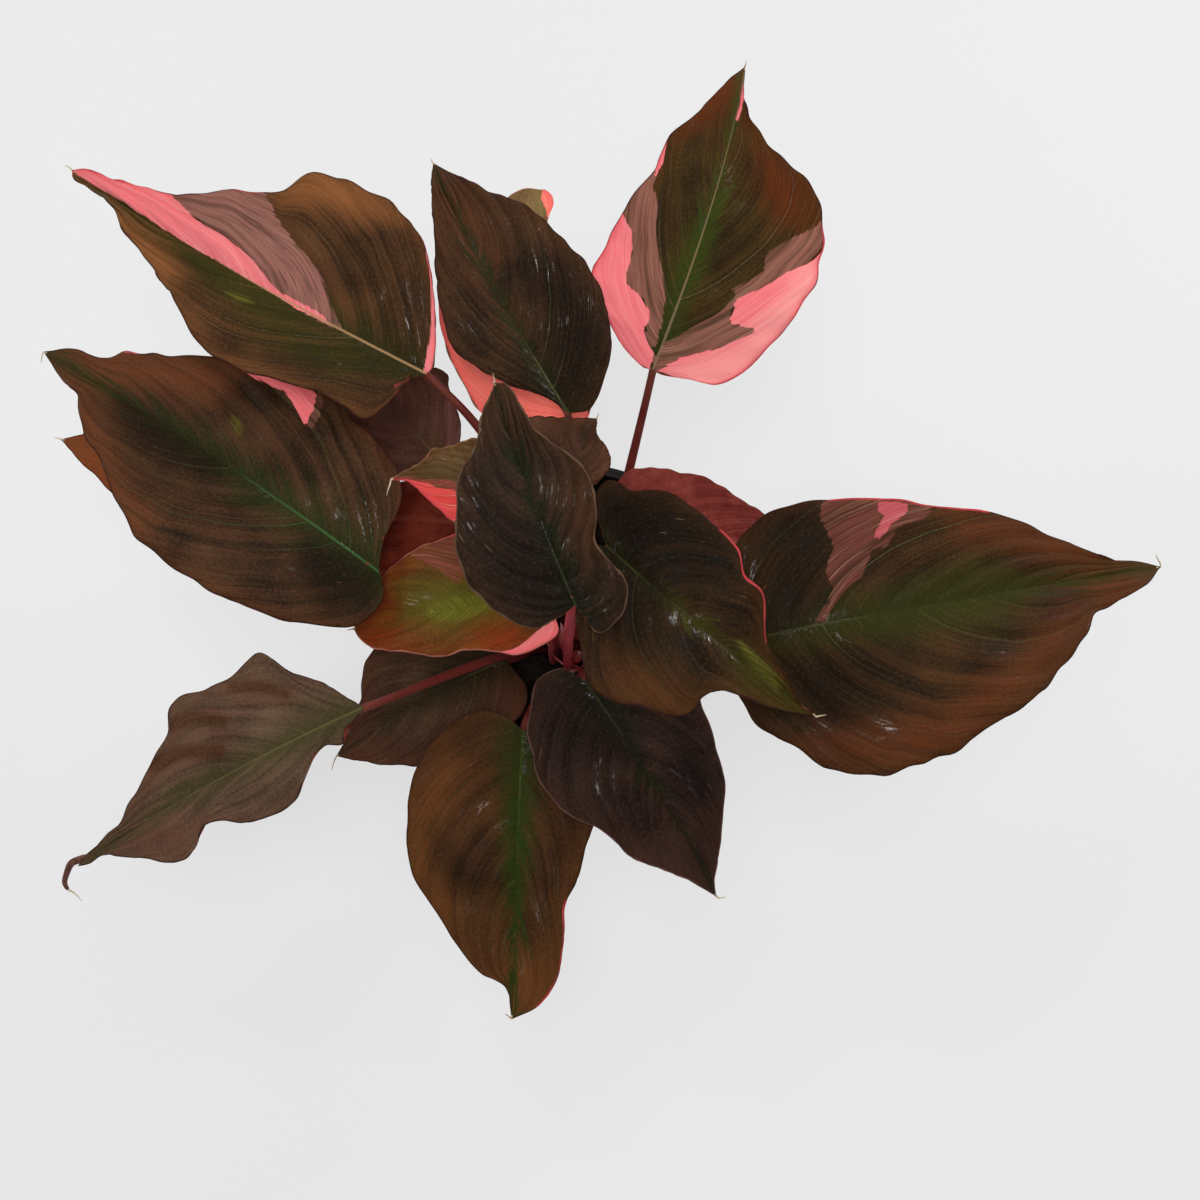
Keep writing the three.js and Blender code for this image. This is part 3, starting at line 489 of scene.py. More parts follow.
        ("warm", [(79, -4), (70, 0), (71, 9), (79, 13), (86, 8), (88, 1)]),
    ],
    "bottom_right": [
        ("green", [(-1, -2), (7, 4), (16, 4), (23, 2), (17, -3), (7, -4)]),
        ("dark", [(-1, -8), (8, 1), (30, 1), (27, -4), (10, -8)]),
        ("dark", [(34, 13), (37, 24), (50, 16), (48, 8), (39, 6)]),
        ("wet", [(27, -15), (35, -8), (46, -4), (47, -10), (37, -16)]),
        ("wet", [(34, 7), (40, 13), (50, 10), (44, 7)]),
        ("dark", [(2, -10), (19, 1), (30, 1), (26, -11), (12, -17)]),
    ],
    "lower_left": [
        ("crease", [(36, -24), (26, -20), (18, -13), (20, -11), (29, -17), (37, -21)]),
        ("crease", [(60, -23), (50, -21), (40, -14), (42, -11), (51, -17), (60, -19)]),
        ("crease", [(71, -15), (59, -14), (45, -7), (46, -3), (59, -9), (71, -10)]),
        ("warm", [(35, -20), (27, -18), (20, -11), (28, -15)]),
        ("warm", [(60, -20), (48, -19), (41, -15), (51, -18), (60, -18)]),
        ("warm", [(71, -13), (59, -13), (44, -8), (57, -9), (72, -10)]),
        ("warm", [(90, 3), (61, 11), (60, 14), (71, 15), (81, 8)]),
        ("green", [(31, -1), (10, -2), (0, -1), (8, 2), (30, 4)]),
        ("wet", [(101, -1), (79, 3), (61, 9), (65, 11), (85, 6)]),
    ],
    "under_lower_left": [
        ("warm", [(3, -1), (-2, 4), (-1, 13), (1, 18), (8, 22), (8, 12)]),
        ("green", [(18, -12), (6, -6), (2, 1), (18, 3), (36, 1), (29, -6)]),
    ],
    "under_left": [
        ("warm", [(118, -3), (97, -7), (79, 12), (91, 15), (107, 6)]),
    ],
    "behind_left": [
        ("half", [(20, -20), (12, -17), (0, -10), (-4, -4), (4, -6), (15, -14)]),
    ],
    "behind_top": [
        ("dark", [(26, 10), (28, 1), (22, -4), (22, 0)]),
    ],
    "under_upper_middle": [
        ("pink", [(52, 43), (36, 39), (22, 36), (5, 29), (0, 15), (-1, 0), (0, -6), (8, -4), (12, 6),
                 (17, 22), (30, 27), (45, 28)]),
        ("pink", [(91, -1), (86, -6), (80, -5), (75, -1), (80, -1), (86, 0)]),
    ],
    "upper_middle": [
        ("wet", [(73, 4), (61, 3), (46, 5), (29, 3), (24, 2), (27, 6), (41, 8), (59, 8)]),
        ("wet", [(56, -15), (52, -18), (40, -14), (39, -9), (48, -10)]),
        ("wet", [(39, -20), (32, -22), (19, -21), (20, -18), (29, -17)]),
        ("wet", [(48, 19), (39, 17), (28, 12), (28, 16), (36, 21)]),
        ("warm", [(103, 2), (91, 0), (71, -6), (54, -2), (50, 7), (67, 6), (78, 9)]),
        ("dark", [(57, -10), (44, -19), (23, -23), (9, -17), (1, -6), (7, -1), (20, -2), (36, -4)]),
    ],
}


def smooth(low, high, value):
    """0 below low, 1 above high, and a smooth rise between them."""
    share = min(max((value - low) / (high - low), 0), 1)
    return share * share * (3 - 2 * share)


# Meshes

def grid_sheet(columns, rows):
    """A flat sheet of faces, with x from -1 to 1 over the columns and y from 0 to 1 over the rows."""
    sheet = bmesh.new()
    bmesh.ops.create_grid(sheet, x_segments=columns, y_segments=rows, size=1)
    for corner in sheet.verts:
        corner.co.y = (corner.co.y + 1) / 2
    return sheet


def add_tube(body, path, radius_at, sides, material=0, along=None):
    """Draws a round foot out from point to point of a path, all in millimetres, and closes it."""
    last = len(path) - 1
    old = set(body.faces)
    circle = bmesh.ops.create_circle(body, cap_ends=True, segments=sides, radius=1)
    face = circle["verts"][0].link_faces[0]
    heading = (path[1] - path[0]).normalized()
    across = heading.orthogonal().normalized()
    for i, centre in enumerate(path):
        heading = (path[min(i + 1, last)] - path[max(i - 1, 0)]).normalized()
        across = (across - heading * across.dot(heading)).normalized()
        beside = heading.cross(across)
        if i > 0:
            face = bmesh.ops.extrude_discrete_faces(body, faces=[face])["faces"][0]
        radius = radius_at(i / last)
        for k, corner in enumerate(face.verts):
            turn = 2 * math.pi * k / sides
            corner.co = (centre + (across * math.cos(turn) + beside * math.sin(turn)) * radius) * MM
            if along is not None:
                corner[along] = i / last
    tube = [f for f in body.faces if f not in old]
    rim = [edge for f in tube for edge in f.edges if edge.is_boundary]
    tube += bmesh.ops.holes_fill(body, edges=rim, sides=sides)["faces"]
    bmesh.ops.recalc_face_normals(body, faces=tube)
    for f in tube:
        f.material_index = material
        f.smooth = True


def place_object(name, data):
    thing = bpy.data.objects.new(name, data)
    bpy.context.collection.objects.link(thing)
    return thing


def place_mesh(name, body, materials=()):
    """Turns a bmesh into an object of the scene."""
    mesh = bpy.data.meshes.new(name)
    body.to_mesh(mesh)
    body.free()
    for material in materials:
        mesh.materials.append(material)
    return place_object(name, mesh)


def add_piece(name, body, materials, slot, *nodes):
    """Turns a bmesh into a piece on the plant's body, in place of the nodes it stands for."""
    piece = place_mesh(name, body, materials)
    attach(piece, "root")
    if nodes:
        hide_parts(*nodes)
    return piece


def shade_smooth(body):
    for face in body.faces:
        face.smooth = True


def apply_modifiers(piece):
    """Leaves the piece with the mesh that its modifiers make."""
    depsgraph = bpy.context.evaluated_depsgraph_get()
    finished = bpy.data.meshes.new_from_object(piece.evaluated_get(depsgraph))
    plain = piece.data
    piece.modifiers.clear()
    piece.data = finished
    bpy.data.meshes.remove(plain)
    finished.name = piece.name


def thicken(piece, wall, back=0):
    """Gives a sheet a wall. Its back takes the material that many places on."""
    solid = piece.modifiers.new("thickness", "SOLIDIFY")
    solid.thickness = wall * MM
    solid.offset = 0
    solid.material_offset = back
    apply_modifiers(piece)


# Leaf shape

def spline_point(points, share):
    """A point on the smooth line through the given points, at the share of its length."""
    knots = [0]
    for before, after in zip(points, points[1:]):
        knots.append(knots[-1] + math.dist(before, after))
    last = len(points) - 1
    at = share * knots[-1]
    i = 0
    while i < last - 1 and at >= knots[i + 1]:
        i += 1
    span = knots[i + 1] - knots[i]
    x = (at - knots[i]) / span

    def slope(k, axis):
        before, after = max(k - 1, 0), min(k + 1, last)
        return (points[after][axis] - points[before][axis]) / (knots[after] - knots[before])

    return [
        (2 * x**3 - 3 * x**2 + 1) * points[i][axis]
        + (x**3 - 2 * x**2 + x) * span * slope(i, axis)
        + (3 * x**2 - 2 * x**3) * points[i + 1][axis]
        + (x**3 - x**2) * span * slope(i + 1, axis)
        for axis in (0, 1)
    ]


def leaf_axis(leaf):
    """The direction of a leaf seen from above, the direction to its left, and its length."""
    span = Vector(leaf["tip"][:2]) - Vector(leaf["base"][:2])
    along = span.normalized()
    return along, Vector((-along.y, along.x)), span.length


def vein_height(leaf, a):
    """The height of the midrib at the distance a from its base."""
    share = a / leaf_axis(leaf)[2]
    fall = leaf["tip"][2] - leaf["base"][2]
    return leaf["base"][2] + fall * share + leaf["arch"] * 4 * share * (1 - share)


def margin_line(leaf, side, seed):
    """The margin of one half, at each row of the blade, slightly frilled."""
    points = leaf["left"] if side == 0 else leaf["right"]
    shrink = NOTCH / math.hypot(*points[0])
    outline = [[points[0][0] * shrink, points[0][1] * shrink], *points, [leaf_axis(leaf)[2], 0]]
    line = [spline_point(outline, i / BLADE_ROWS) for i in range(BLADE_ROWS + 1)]
    for i, point in enumerate(line):
        share = i / BLADE_ROWS
        size = leaf.get("frill", FRILL)[side] * smooth(0, 0.15, share) * smooth(0, 0.2, 1 - share)
        push = noise.noise(Vector((point[0] / FRILL_LENGTH, seed, side)))
        slow = point[0] / FRILL_LENGTH / BROAD_FRILL_STRETCH
        push += BROAD_FRILL * noise.noise(Vector((slow, seed, side)))
        point[1] += size * push
    return line


def bow_at(leaf, share):
    return leaf["bow"] * 4 * share * (1 - share)


def midrib_point(leaf, share, below=0):
    """A point of the midrib, at the share of its length, moved down by below."""
    along, left, length = leaf_axis(leaf)
    flat = Vector(leaf["base"][:2]) + along * length * share + left * bow_at(leaf, share)
    return Vector((flat.x, flat.y, vein_height(leaf, length * share) - below))


def swept_row(row, out):
    """The row at which the side vein through a point leaves the midrib. Side veins bend forward."""
    return row - SIDE_VEIN_SWEEP * out**SIDE_VEIN_BEND


def vein_lane(swept, seed):
    """Counts the side veins along the midrib: a vein runs where this is a whole number."""
    return SIDE_VEINS * swept + VEIN_DRIFT * noise.noise(Vector((VEIN_DRIFTS * swept, seed, 0.5)))


def relief(row, out, a, b, across, pleats, seed):
    """How far the skin stands off the plain blade: pleats between the side veins, the groove over
    the midrib, and slow unevenness that fades where the stalk joins."""
    open_part = smooth(0, 0.25, out) * smooth(0, 0.2, row) * smooth(0, 0.15, 1 - row)
    lane = vein_lane(swept_row(row, out), seed)
    deep = PLEAT_LEAST + PLEAT_RANGE * abs(noise.noise(Vector((math.floor(lane) * 2.3, seed, 0.5))))
    pleat = PLEAT * pleats * deep * open_part * abs(math.sin(math.pi * lane))
    groove = -GROOVE * math.exp(-((across / GROOVE_WIDTH) ** 2)) * smooth(0, 0.5, 1 - row)
    uneven = UNEVEN * noise.noise(Vector((a / UNEVEN_LENGTH, b / UNEVEN_LENGTH, seed)))
    uneven *= smooth(0, 0.1, row) * smooth(0.5, 5, across)
    ruffle = RUFFLE * out**5 * math.sin(2 * math.pi * (RUFFLE_COUNT * row + seed)) * open_part
    return pleat + groove + uneven + ruffle


def patch_depth(outline, a, b):
    """How deep each point (a, b) lies inside an outline, in millimetres, negative outside."""
    nearest = np.full(a.shape, np.inf)
    inside = np.zeros(a.shape, dtype=bool)
    for (a0, b0), (a1, b1) in zip(outline, outline[1:] + outline[:1]):
        run, rise = a1 - a0, b1 - b0
        share = np.clip(((a - a0) * run + (b - b0) * rise) / (run**2 + rise**2), 0, 1)
        nearest = np.minimum(nearest, np.hypot(a - a0 - share * run, b - b0 - share * rise))
        if b0 != b1:
            crossing = (b0 > b) != (b1 > b)
            inside ^= crossing & (a < a0 + run * (b - b0) / rise)
    return np.where(inside, nearest, -nearest)


PATCH_KINDS = ("pink", "pale", "half", "warm", "green", "yellow", "dark", "crease", "red", "wet")


def paint_patches(mesh, name):
    """Gives a blade one value a corner for each kind of patch: its depth inside such a patch."""
    places = np.empty(len(mesh.vertices) * 3)
    mesh.attributes["blade"].data.foreach_get("vector", places)
    a, b = places[0::3], places[1::3]
    for kind in PATCH_KINDS:
        depth = np.full(a.shape, -PATCH_REACH, dtype=float)
        for patch_kind, outline in PATCHES.get(name, []):
            if patch_kind == kind:
                depth = np.maximum(depth, patch_depth(outline, a, b))
        layer = mesh.attributes.new(kind, "FLOAT", "POINT")
        layer.data.foreach_set("value", depth)


def blade_sheet(leaf, seed):
    """The middle surface of a blade. Its corners carry blade (their place on the leaf), vein (their
    place along and across the side veins), rib (distance from the midrib) and edge (from the margin)."""
    sheet = grid_sheet(2 * BLADE_COLUMNS, BLADE_ROWS)
    place = sheet.verts.layers.float_vector.new("blade")
    vein = sheet.verts.layers.float_vector.new("vein")
    rib = sheet.verts.layers.float.new("rib")
    edge = sheet.verts.layers.float.new("edge")
    along, left, length = leaf_axis(leaf)
    margins = [margin_line(leaf, side, seed) for side in (0, 1)]
    height, count, phase = leaf["wave"]
    for corner in sheet.verts:
        side = 0 if corner.co.x < 0 else 1
        sign = 1 - 2 * side
        out = abs(corner.co.x) ** COLUMN_SPREAD
        row = corner.co.y
        margin = margins[side][round(row * BLADE_ROWS)]
        sweep = row**VEIN_SWEEP
        rib_place = (length * sweep, bow_at(leaf, sweep))
        a = rib_place[0] + (margin[0] - rib_place[0]) * out
        b = rib_place[1] + (sign * margin[1] - rib_place[1]) * out
        across = abs(b - bow_at(leaf, min(max(a / length, 0), 1)))
        turn = 2 * math.pi * (count * row + phase + SIDE_SHIFT * side)
        z = vein_height(leaf, a) + leaf["fold"][side] * across - DROOP * across**2
        z += height * math.sin(turn) * out**2 * math.sqrt(math.sin(math.pi * min(row, 1)) + 1e-9)
        z += relief(row, out, a, b, across, leaf.get("pleats", 1), seed + side)
        flat = Vector(leaf["base"][:2]) + along * a + left * b
        width = math.dist(margin, (rib_place[0], sign * rib_place[1]))
        corner.co = Vector((flat.x, flat.y, z)) * MM
        swept = swept_row(row, out)
        corner[place] = (a, b, row)
        out_along = out * length * VEIN_STRETCH + side * length
        corner[vein] = (swept * length, out_along, vein_lane(swept, seed + side))
        corner[rib] = across
        corner[edge] = (1 - out) * width
    bmesh.ops.remove_doubles(sheet, verts=sheet.verts, dist=SAME_CORNER)
    shade_smooth(sheet)
    return sheet


def rib_radius(share):
    return RIB_TIP_RADIUS + (RIB_RADIUS - RIB_TIP_RADIUS) * (1 - share) ** RIB_TAPER


def add_rib(body, leaf):
    """The midrib stands out under the blade."""
    path = []
    for i in range(RIB_STEPS + 1):
        share = i / RIB_STEPS
        below = rib_radius(share) - BLADE / 8 + GROOVE * smooth(0, 0.5, 1 - share)
        path.append(midrib_point(leaf, 0.99 * share + 0.004, below))
    add_tube(body, path, rib_radius, RIB_SIDES, material=1)


def thread_radius(share):
    return THREAD_RADIUS * (1 - 0.75 * share)


def tail_radius(share):
    swell = smooth(0, 0.2, share) * math.sqrt(1 - share)
    return TAIL_TIP_RADIUS + (TAIL_RADIUS - TAIL_TIP_RADIUS) * swell


def add_thread(body, leaf):
    """The pale thread that the tip ends in, on one leaf past a curled tail."""
    tip = Vector(leaf["tip"])
    points = [tip + Vector(step) for step in leaf["thread"]]
    if "tail" in leaf:
        tail = [midrib_point(leaf, 0.93), *(tip + Vector(step) for step in leaf["tail"]), points[0]]
        path = [curve_point(tail, i / TAIL_STEPS) for i in range(TAIL_STEPS + 1)]
        add_tube(body, path, tail_radius, TAIL_SIDES, material=3)
    else:
        points = [midrib_point(leaf, 0.985), tip, *points]
    steps = THREAD_STEPS * (len(points) - 1)
    path = [curve_point(points, i / steps) for i in range(steps + 1)]
    add_tube(body, path, thread_radius, THREAD_SIDES, material=2)


def curve_point(points, share):
    """A point on a smooth line through points in space."""
    last = len(points) - 1
    at = share * last
    i = min(int(at), last - 1)
    x = at - i
    before, start, end, after = (points[min(max(k, 0), last)] for k in (i - 1, i, i + 1, i + 2))
    return (
        start * (2 * x**3 - 3 * x**2 + 1) + (end - before) / 2 * (x**3 - 2 * x**2 + x)
        + end * (3 * x**2 - 2 * x**3) + (after - start) / 2 * (x**3 - x**2)
    )


def build_leaf(name, leaf, seed, materials):
    """A leaf: its blade with both faces and its rim, the midrib under it, and the thread at its tip."""
    node = f"leaf_{name}"
    piece = add_piece(node, blade_sheet(leaf, seed), materials, "leaf", node)
    paint_patches(piece.data, name)
    thicken(piece, BLADE, back=1)
    body = bmesh.new()
    body.from_mesh(piece.data)
    add_rib(body, leaf)
    if leaf["thread"]:
        add_thread(body, leaf)
    body.to_mesh(piece.data)
    body.free()


# Stalks

def stalk_path(leaf):
    """Straight up out of the soil, then one curve to the underside of the leaf, where it meets the
    midrib."""
    along = leaf_axis(leaf)[0].to_3d()
    slant = math.atan2(leaf["drop"], leaf["reach"])
    slope = vein_height(leaf, leaf["seat"] + 1) - vein_height(leaf, leaf["seat"])
    tilt = abs(math.cos(slant) + slope * math.sin(slant))
    end = Vector(leaf["base"]) + along * leaf["seat"]
    end.z = vein_height(leaf, leaf["seat"]) - (CAD_BLADE / 2 + STALK_ROOM + STALK_RADIUS * tilt)
    root = Vector((*leaf["foot"], SOIL_TOP - ROOTED))
    collar = Vector((*leaf["foot"], SOIL_TOP + COLLAR))
    lift = collar + Vector((0, 0, leaf["rise"]))
    arrive = end - along * leaf["reach"] - Vector((0, 0, leaf["drop"]))
    path = [root, (root + collar) / 2]
    for i in range(STALK_STEPS + 1):
        t = i / STALK_STEPS
        point = collar * (1 - t) ** 3 + lift * 3 * t * (1 - t) ** 2
        point += arrive * 3 * t**2 * (1 - t) + end * t**3
        point.z += STALK_LIFT * smooth(0.9, 1, t)
        path.append(point)
    return path


def stalk_radius(share):
    foot = STALK_FOOT * (1 - smooth(0, 0.2, share))
    return STALK_RADIUS + foot + (STALK_TOP_RADIUS - STALK_RADIUS) * smooth(0.6, 1, share)


def build_stalk(name, leaf, material):
    node = f"stalk_{name}"
    body = bmesh.new()
    along = body.verts.layers.float.new("along")
    add_tube(body, stalk_path(leaf), stalk_radius, STALK_SIDES, along=along)
    add_piece(node, body, [material], "stalk", node)


# Pot, soil and crown

def pot_radius(z):
    """The outer radius of the pot's tapered wall."""
    mouth = POT_MOUTH_RADIUS - LIP_STEP
    return POT_FOOT_RADIUS + (mouth - POT_FOOT_RADIUS) * z / POT_HEIGHT


def spin_profile(profile, segments):
    """Turns a profile of (radius, height) points about the upright axis, with its poles closed."""
    body = bmesh.new()
    corners = [body.verts.new((radius * MM, 0, z * MM)) for radius, z in profile]
    for low, high in zip(corners, corners[1:]):
        body.edges.new((low, high))
    bmesh.ops.spin(
        body, geom=body.verts[:] + body.edges[:], axis=(0, 0, 1), cent=(0, 0, 0),
        angle=2 * math.pi, steps=segments, use_merge=True,
    )
    bmesh.ops.remove_doubles(body, verts=body.verts, dist=1e-6)
    bmesh.ops.recalc_face_normals(body, faces=body.faces)
    shade_smooth(body)
    return body


def round_edges(body, width, sharp=math.radians(25)):
    """Rounds the edges where two faces meet at more than the sharp angle."""
    edges = [edge for edge in body.edges if len(edge.link_faces) == 2 and edge.calc_face_angle() > sharp]
    bmesh.ops.bevel(
        body, geom=edges, offset=width * MM, offset_type="OFFSET", segments=3, profile=0.5,
        affect="EDGES", material=-1, clamp_overlap=True,
    )
    shade_smooth(body)


def build_pot(material):
    lip_foot = POT_HEIGHT - LIP_HEIGHT
    inside = pot_radius(POT_HEIGHT) - POT_WALL
    profile = [(0, 0), (POT_FOOT_RADIUS, 0)]
    for z in (3, 4, lip_foot - 6, lip_foot - 5, lip_foot):
        profile.append((pot_radius(z), z))
    band = BEAD_WIDTH + BEAD_SLOPE
    profile += [
        (POT_MOUTH_RADIUS - LIP_BEAD, lip_foot),
        (POT_MOUTH_RADIUS - LIP_BEAD, lip_foot + BEAD_WIDTH),
        (POT_MOUTH_RADIUS - 2 * LIP_BEAD, lip_foot + band),
        (POT_MOUTH_RADIUS - LIP_BEAD, POT_HEIGHT - band),
        (POT_MOUTH_RADIUS, POT_HEIGHT - BEAD_WIDTH),
        (POT_MOUTH_RADIUS, POT_HEIGHT), (inside, POT_HEIGHT),
    ]
    for z in (POT_HEIGHT - 2, POT_HEIGHT - 12, POT_HEIGHT - 24, 40, 20, POT_FLOOR):
        profile.append((pot_radius(z) - POT_WALL, z))
    profile.append((0, POT_FLOOR))
    body = spin_profile(profile, POT_SEGMENTS)
    round_edges(body, POT_ROUNDING)
    pot = add_piece("pot", body, [material], "pot", "pot")
    drills = bmesh.new()
    for i in range(DRAIN_HOLES):
        turn = 2 * math.pi * i / DRAIN_HOLES
        place = Vector((DRAIN_RING * math.cos(turn), DRAIN_RING * math.sin(turn), POT_FLOOR / 2)) * MM
        bmesh.ops.create_cone(
            drills, cap_ends=True, segments=DRAIN_SEGMENTS, radius1=DRAIN_RADIUS * MM,
            radius2=DRAIN_RADIUS * MM, depth=2 * POT_FLOOR * MM, matrix=Matrix.Translation(place),
        )
    cutter = place_mesh("drills", drills)
    cut = pot.modifiers.new("drain holes", "BOOLEAN")
    cut.operation = "DIFFERENCE"
    cut.solver = "EXACT"
    cut.object = cutter
    apply_modifiers(pot)
    drilled = cutter.data
    bpy.data.objects.remove(cutter)
    bpy.data.meshes.remove(drilled)


def soil_height(x, y):
    """Low bumps on a gentle mound."""
    mound = SOIL_MOUND * (1 - (x * x + y * y) / POT_MOUTH_RADIUS**2)
    turn = 2 * math.pi / BUMP_SPACING
    bump = math.sin(turn * x + math.sin(turn * y)) + math.cos(turn * y - x / BUMP_SPACING)
    return SOIL_TOP - SOIL_BUMP + mound + SOIL_BUMP / 2 * bump


def crumbly_height(x, y):
    """The soil's surface with its crumbs."""
    crumb = 0
    for size, share in CRUMB_SIZES:
        crumb += share * noise.noise(Vector((x / size, y / size, size)))
    return soil_height(x, y) + CRUMB * crumb


def build_soil(material):
    top = pot_radius(SOIL_TOP) - POT_WALL - SOIL_SIDE_GAP
    bottom = POT_FLOOR + SOIL_FLOOR_GAP
    profile = [(0, bottom), (pot_radius(bottom) - POT_WALL - SOIL_FOOT_GAP, bottom)]
    profile += [(top * k / SOIL_RINGS, SOIL_TOP) for k in range(SOIL_RINGS, -1, -1)]
    body = spin_profile(profile, SOIL_SEGMENTS)
    for corner in body.verts:
        if corner.co.z > (SOIL_TOP - 1) * MM:
            x, y = corner.co.x / MM, corner.co.y / MM
            corner.co.z = crumbly_height(x, y) * MM
    add_piece("soil", body, [material], "soil", "soil")


def build_chips(material):
    """Flakes of bark and lumps of peat that lie on the soil."""
    draw = random.Random(CHIP_SEED)
    body = bmesh.new()
    tone = body.verts.layers.float.new("tone")
    feet = [leaf["foot"] for leaf in LEAVES.values()]
    reach = pot_radius(SOIL_TOP) - POT_WALL - 3
    for _ in range(CHIPS):
        away = reach * math.sqrt(draw.random())
        turn = draw.uniform(0, 2 * math.pi)
        x, y = away * math.cos(turn), away * math.sin(turn)
        size = draw.uniform(*(SMALL_CHIP if draw.random() < SMALL_SHARE else LARGE_CHIP))
        if min(math.dist((x, y), foot) for foot in [*feet, CROWN]) < size + CHIP_ROOM:
            continue
        shape = bmesh.ops.create_icosphere(body, subdivisions=2, radius=1)["verts"]
        seed = draw.uniform(0, 99)
        shade = draw.random()
        for corner in shape:
            corner.co *= 1 + CHIP_ROUGHNESS * noise.noise(corner.co * 1.3 + Vector((seed, 0, 0)))
            corner[tone] = shade
        spin = Matrix.Rotation(draw.uniform(0, 6.28), 4, "Z")
        spin @= Matrix.Rotation(draw.uniform(-CHIP_TILT, CHIP_TILT), 4, "X")
        length, width = size * draw.uniform(0.8, 1.7), size * draw.uniform(0.6, 1)
        flat = Matrix.Diagonal((length, width, size * CHIP_FLATNESS, 1))
        place = Matrix.Translation((x, y, crumbly_height(x, y) + 0.2 * size))
        bmesh.ops.transform(body, matrix=Matrix.Scale(MM, 4) @ place @ spin @ flat, verts=shape)
    add_piece("soil_bark", body, [material], "soil")


def place_on_crown(x, y, z):
    return Vector((CROWN[0] + x, CROWN[1] + y, SOIL_TOP + z))


def build_crown_stem(material):
    """The short ringed stem that the stalks and shoots grow round."""
    profile = [(0, -ROOTED), (0.8 * CROWN_RADIUS, -ROOTED), (CROWN_RADIUS, 3 - ROOTED)]
    for z in (-2, 0, 1.6, 2.2, 4, 4.6, 6.4, 7, 8.6):
        scar = 0.35 if z in (2.2, 4.6, 7) else 0
        profile.append((CROWN_RADIUS * (1 - 0.03 * max(z, 0)) - scar, z))
    profile += [(0.62 * CROWN_RADIUS, 10.6), (0.3 * CROWN_RADIUS, CROWN_HEIGHT - 0.3), (0, CROWN_HEIGHT)]
    body = spin_profile(profile, CROWN_SEGMENTS)
    for corner in body.verts:
        push = 1 + 0.06 * noise.noise(corner.co / MM / 3)
        corner.co.x *= push
        corner.co.y *= push
    bmesh.ops.translate(body, verts=body.verts, vec=place_on_crown(0, 0, 0) * MM)
    add_piece("crown", body, [material], "crown", "crown")


# Rolled new leaves at the crown: foot, tip, radius, height and the turn at which the roll ends
SHOOTS = {
    "tall": ((-1, 1), (-3, 4), 2.5, 32, 0.4),
    "short": ((1, -1), (3, -4), 2.2, 24, 3.3),
}


def build_shoot(name, foot, tip, radius, height, start, material):
    """One leaf still rolled up: a sheet wound round itself that narrows to a point."""
    sheet = grid_sheet(*SHOOT_GRID)
    along = sheet.verts.layers.float.new("along")
    for corner in sheet.verts:
        wind, rise = (corner.co.x + 1) / 2, corner.co.y
        swell = smooth(-0.2, 0.3, rise) * (1 - smooth(0.35, 1.02, rise) * 0.93)
        slant = min(rise * (1 - 0.12 * wind), 1)
        out = radius * swell * (1 - 0.3 * wind * (1 - 0.5 * rise))
        turn = start + 2 * math.pi * ROLL_TURNS * wind + 0.8 * rise
        lean = Vector((foot[0] + (tip[0] - foot[0]) * rise, foot[1] + (tip[1] - foot[1]) * rise))
        crease = 1 + 0.05 * noise.noise(Vector((4 * wind, 9 * rise, start)))
        point = place_on_crown(
            lean.x + out * crease * math.cos(turn), lean.y + out * crease * math.sin(turn), height * slant,
        )
        corner.co = point * MM
        corner[along] = rise
    shade_smooth(sheet)
    thicken(add_piece(f"crown_shoot_{name}", sheet, [material], "crown"), ROLL_WALL)


# Papery sheaths round the crown: turn, distance of the foot, height, width, lean outwards, and twist
SHEATHS = [
    (0.3, 4.6, 20, 9, 0.25, 0.5),
    (1.5, 4.6, 27, 12, 0.12, -0.4),
    (2.6, 4.8, 25, 13, 0.2, 0.3),
    (3.9, 4.3, 22, 11, 0.2, 0.6),
    (5.2, 4.9, 19, 10, 0.3, -0.5),
]


def build_sheath(index, turn, away, height, width, lean, twist, material):
    """One crinkled, pointed sheath, hollow towards the crown."""
    sheet = grid_sheet(*SHEATH_GRID)
    along = sheet.verts.layers.float.new("along")
    for corner in sheet.verts:
        side, rise = corner.co.x, corner.co.y
        breadth = width / 2 * (1 - rise**3.4) * (0.75 + 0.35 * math.sin(math.pi * min(rise * 1.3, 1)))
        cup = 1.5 * side * side * (1 - 0.4 * rise)
        crinkle = 0.9 * rise * noise.noise(Vector((side * 1.6, rise * 5, 7 * index)))
        crinkle += 0.35 * noise.noise(Vector((side * 4, rise * 12, 3 * index)))
        out = away + lean * height * rise**1.5 - cup + crinkle
        facing = turn + twist * rise
        outward = Vector((math.cos(facing), math.sin(facing)))
        across = Vector((-outward.y, outward.x)) * breadth * side
        point = place_on_crown(*(outward * out + across), height * rise - 2 * (1 - rise))
        corner.co = point * MM
        corner[along] = rise
    bmesh.ops.remove_doubles(sheet, verts=sheet.verts, dist=SAME_CORNER)
    shade_smooth(sheet)
    thicken(add_piece(f"crown_sheath_{index}", sheet, [material], "crown"), SHEATH_WALL)


# Shader nodes

def tint(text):
    """A colour given as six hexadecimal digits, as a linear value. Anything else stays as it is."""
    if not isinstance(text, str):
        return text
    parts = [int(text[i:i + 2], 16) / 255 for i in (0, 2, 4)]
    return (*[p / 12.92 if p <= 0.04045 else ((p + 0.055) / 1.055) ** 2.4 for p in parts], 1)


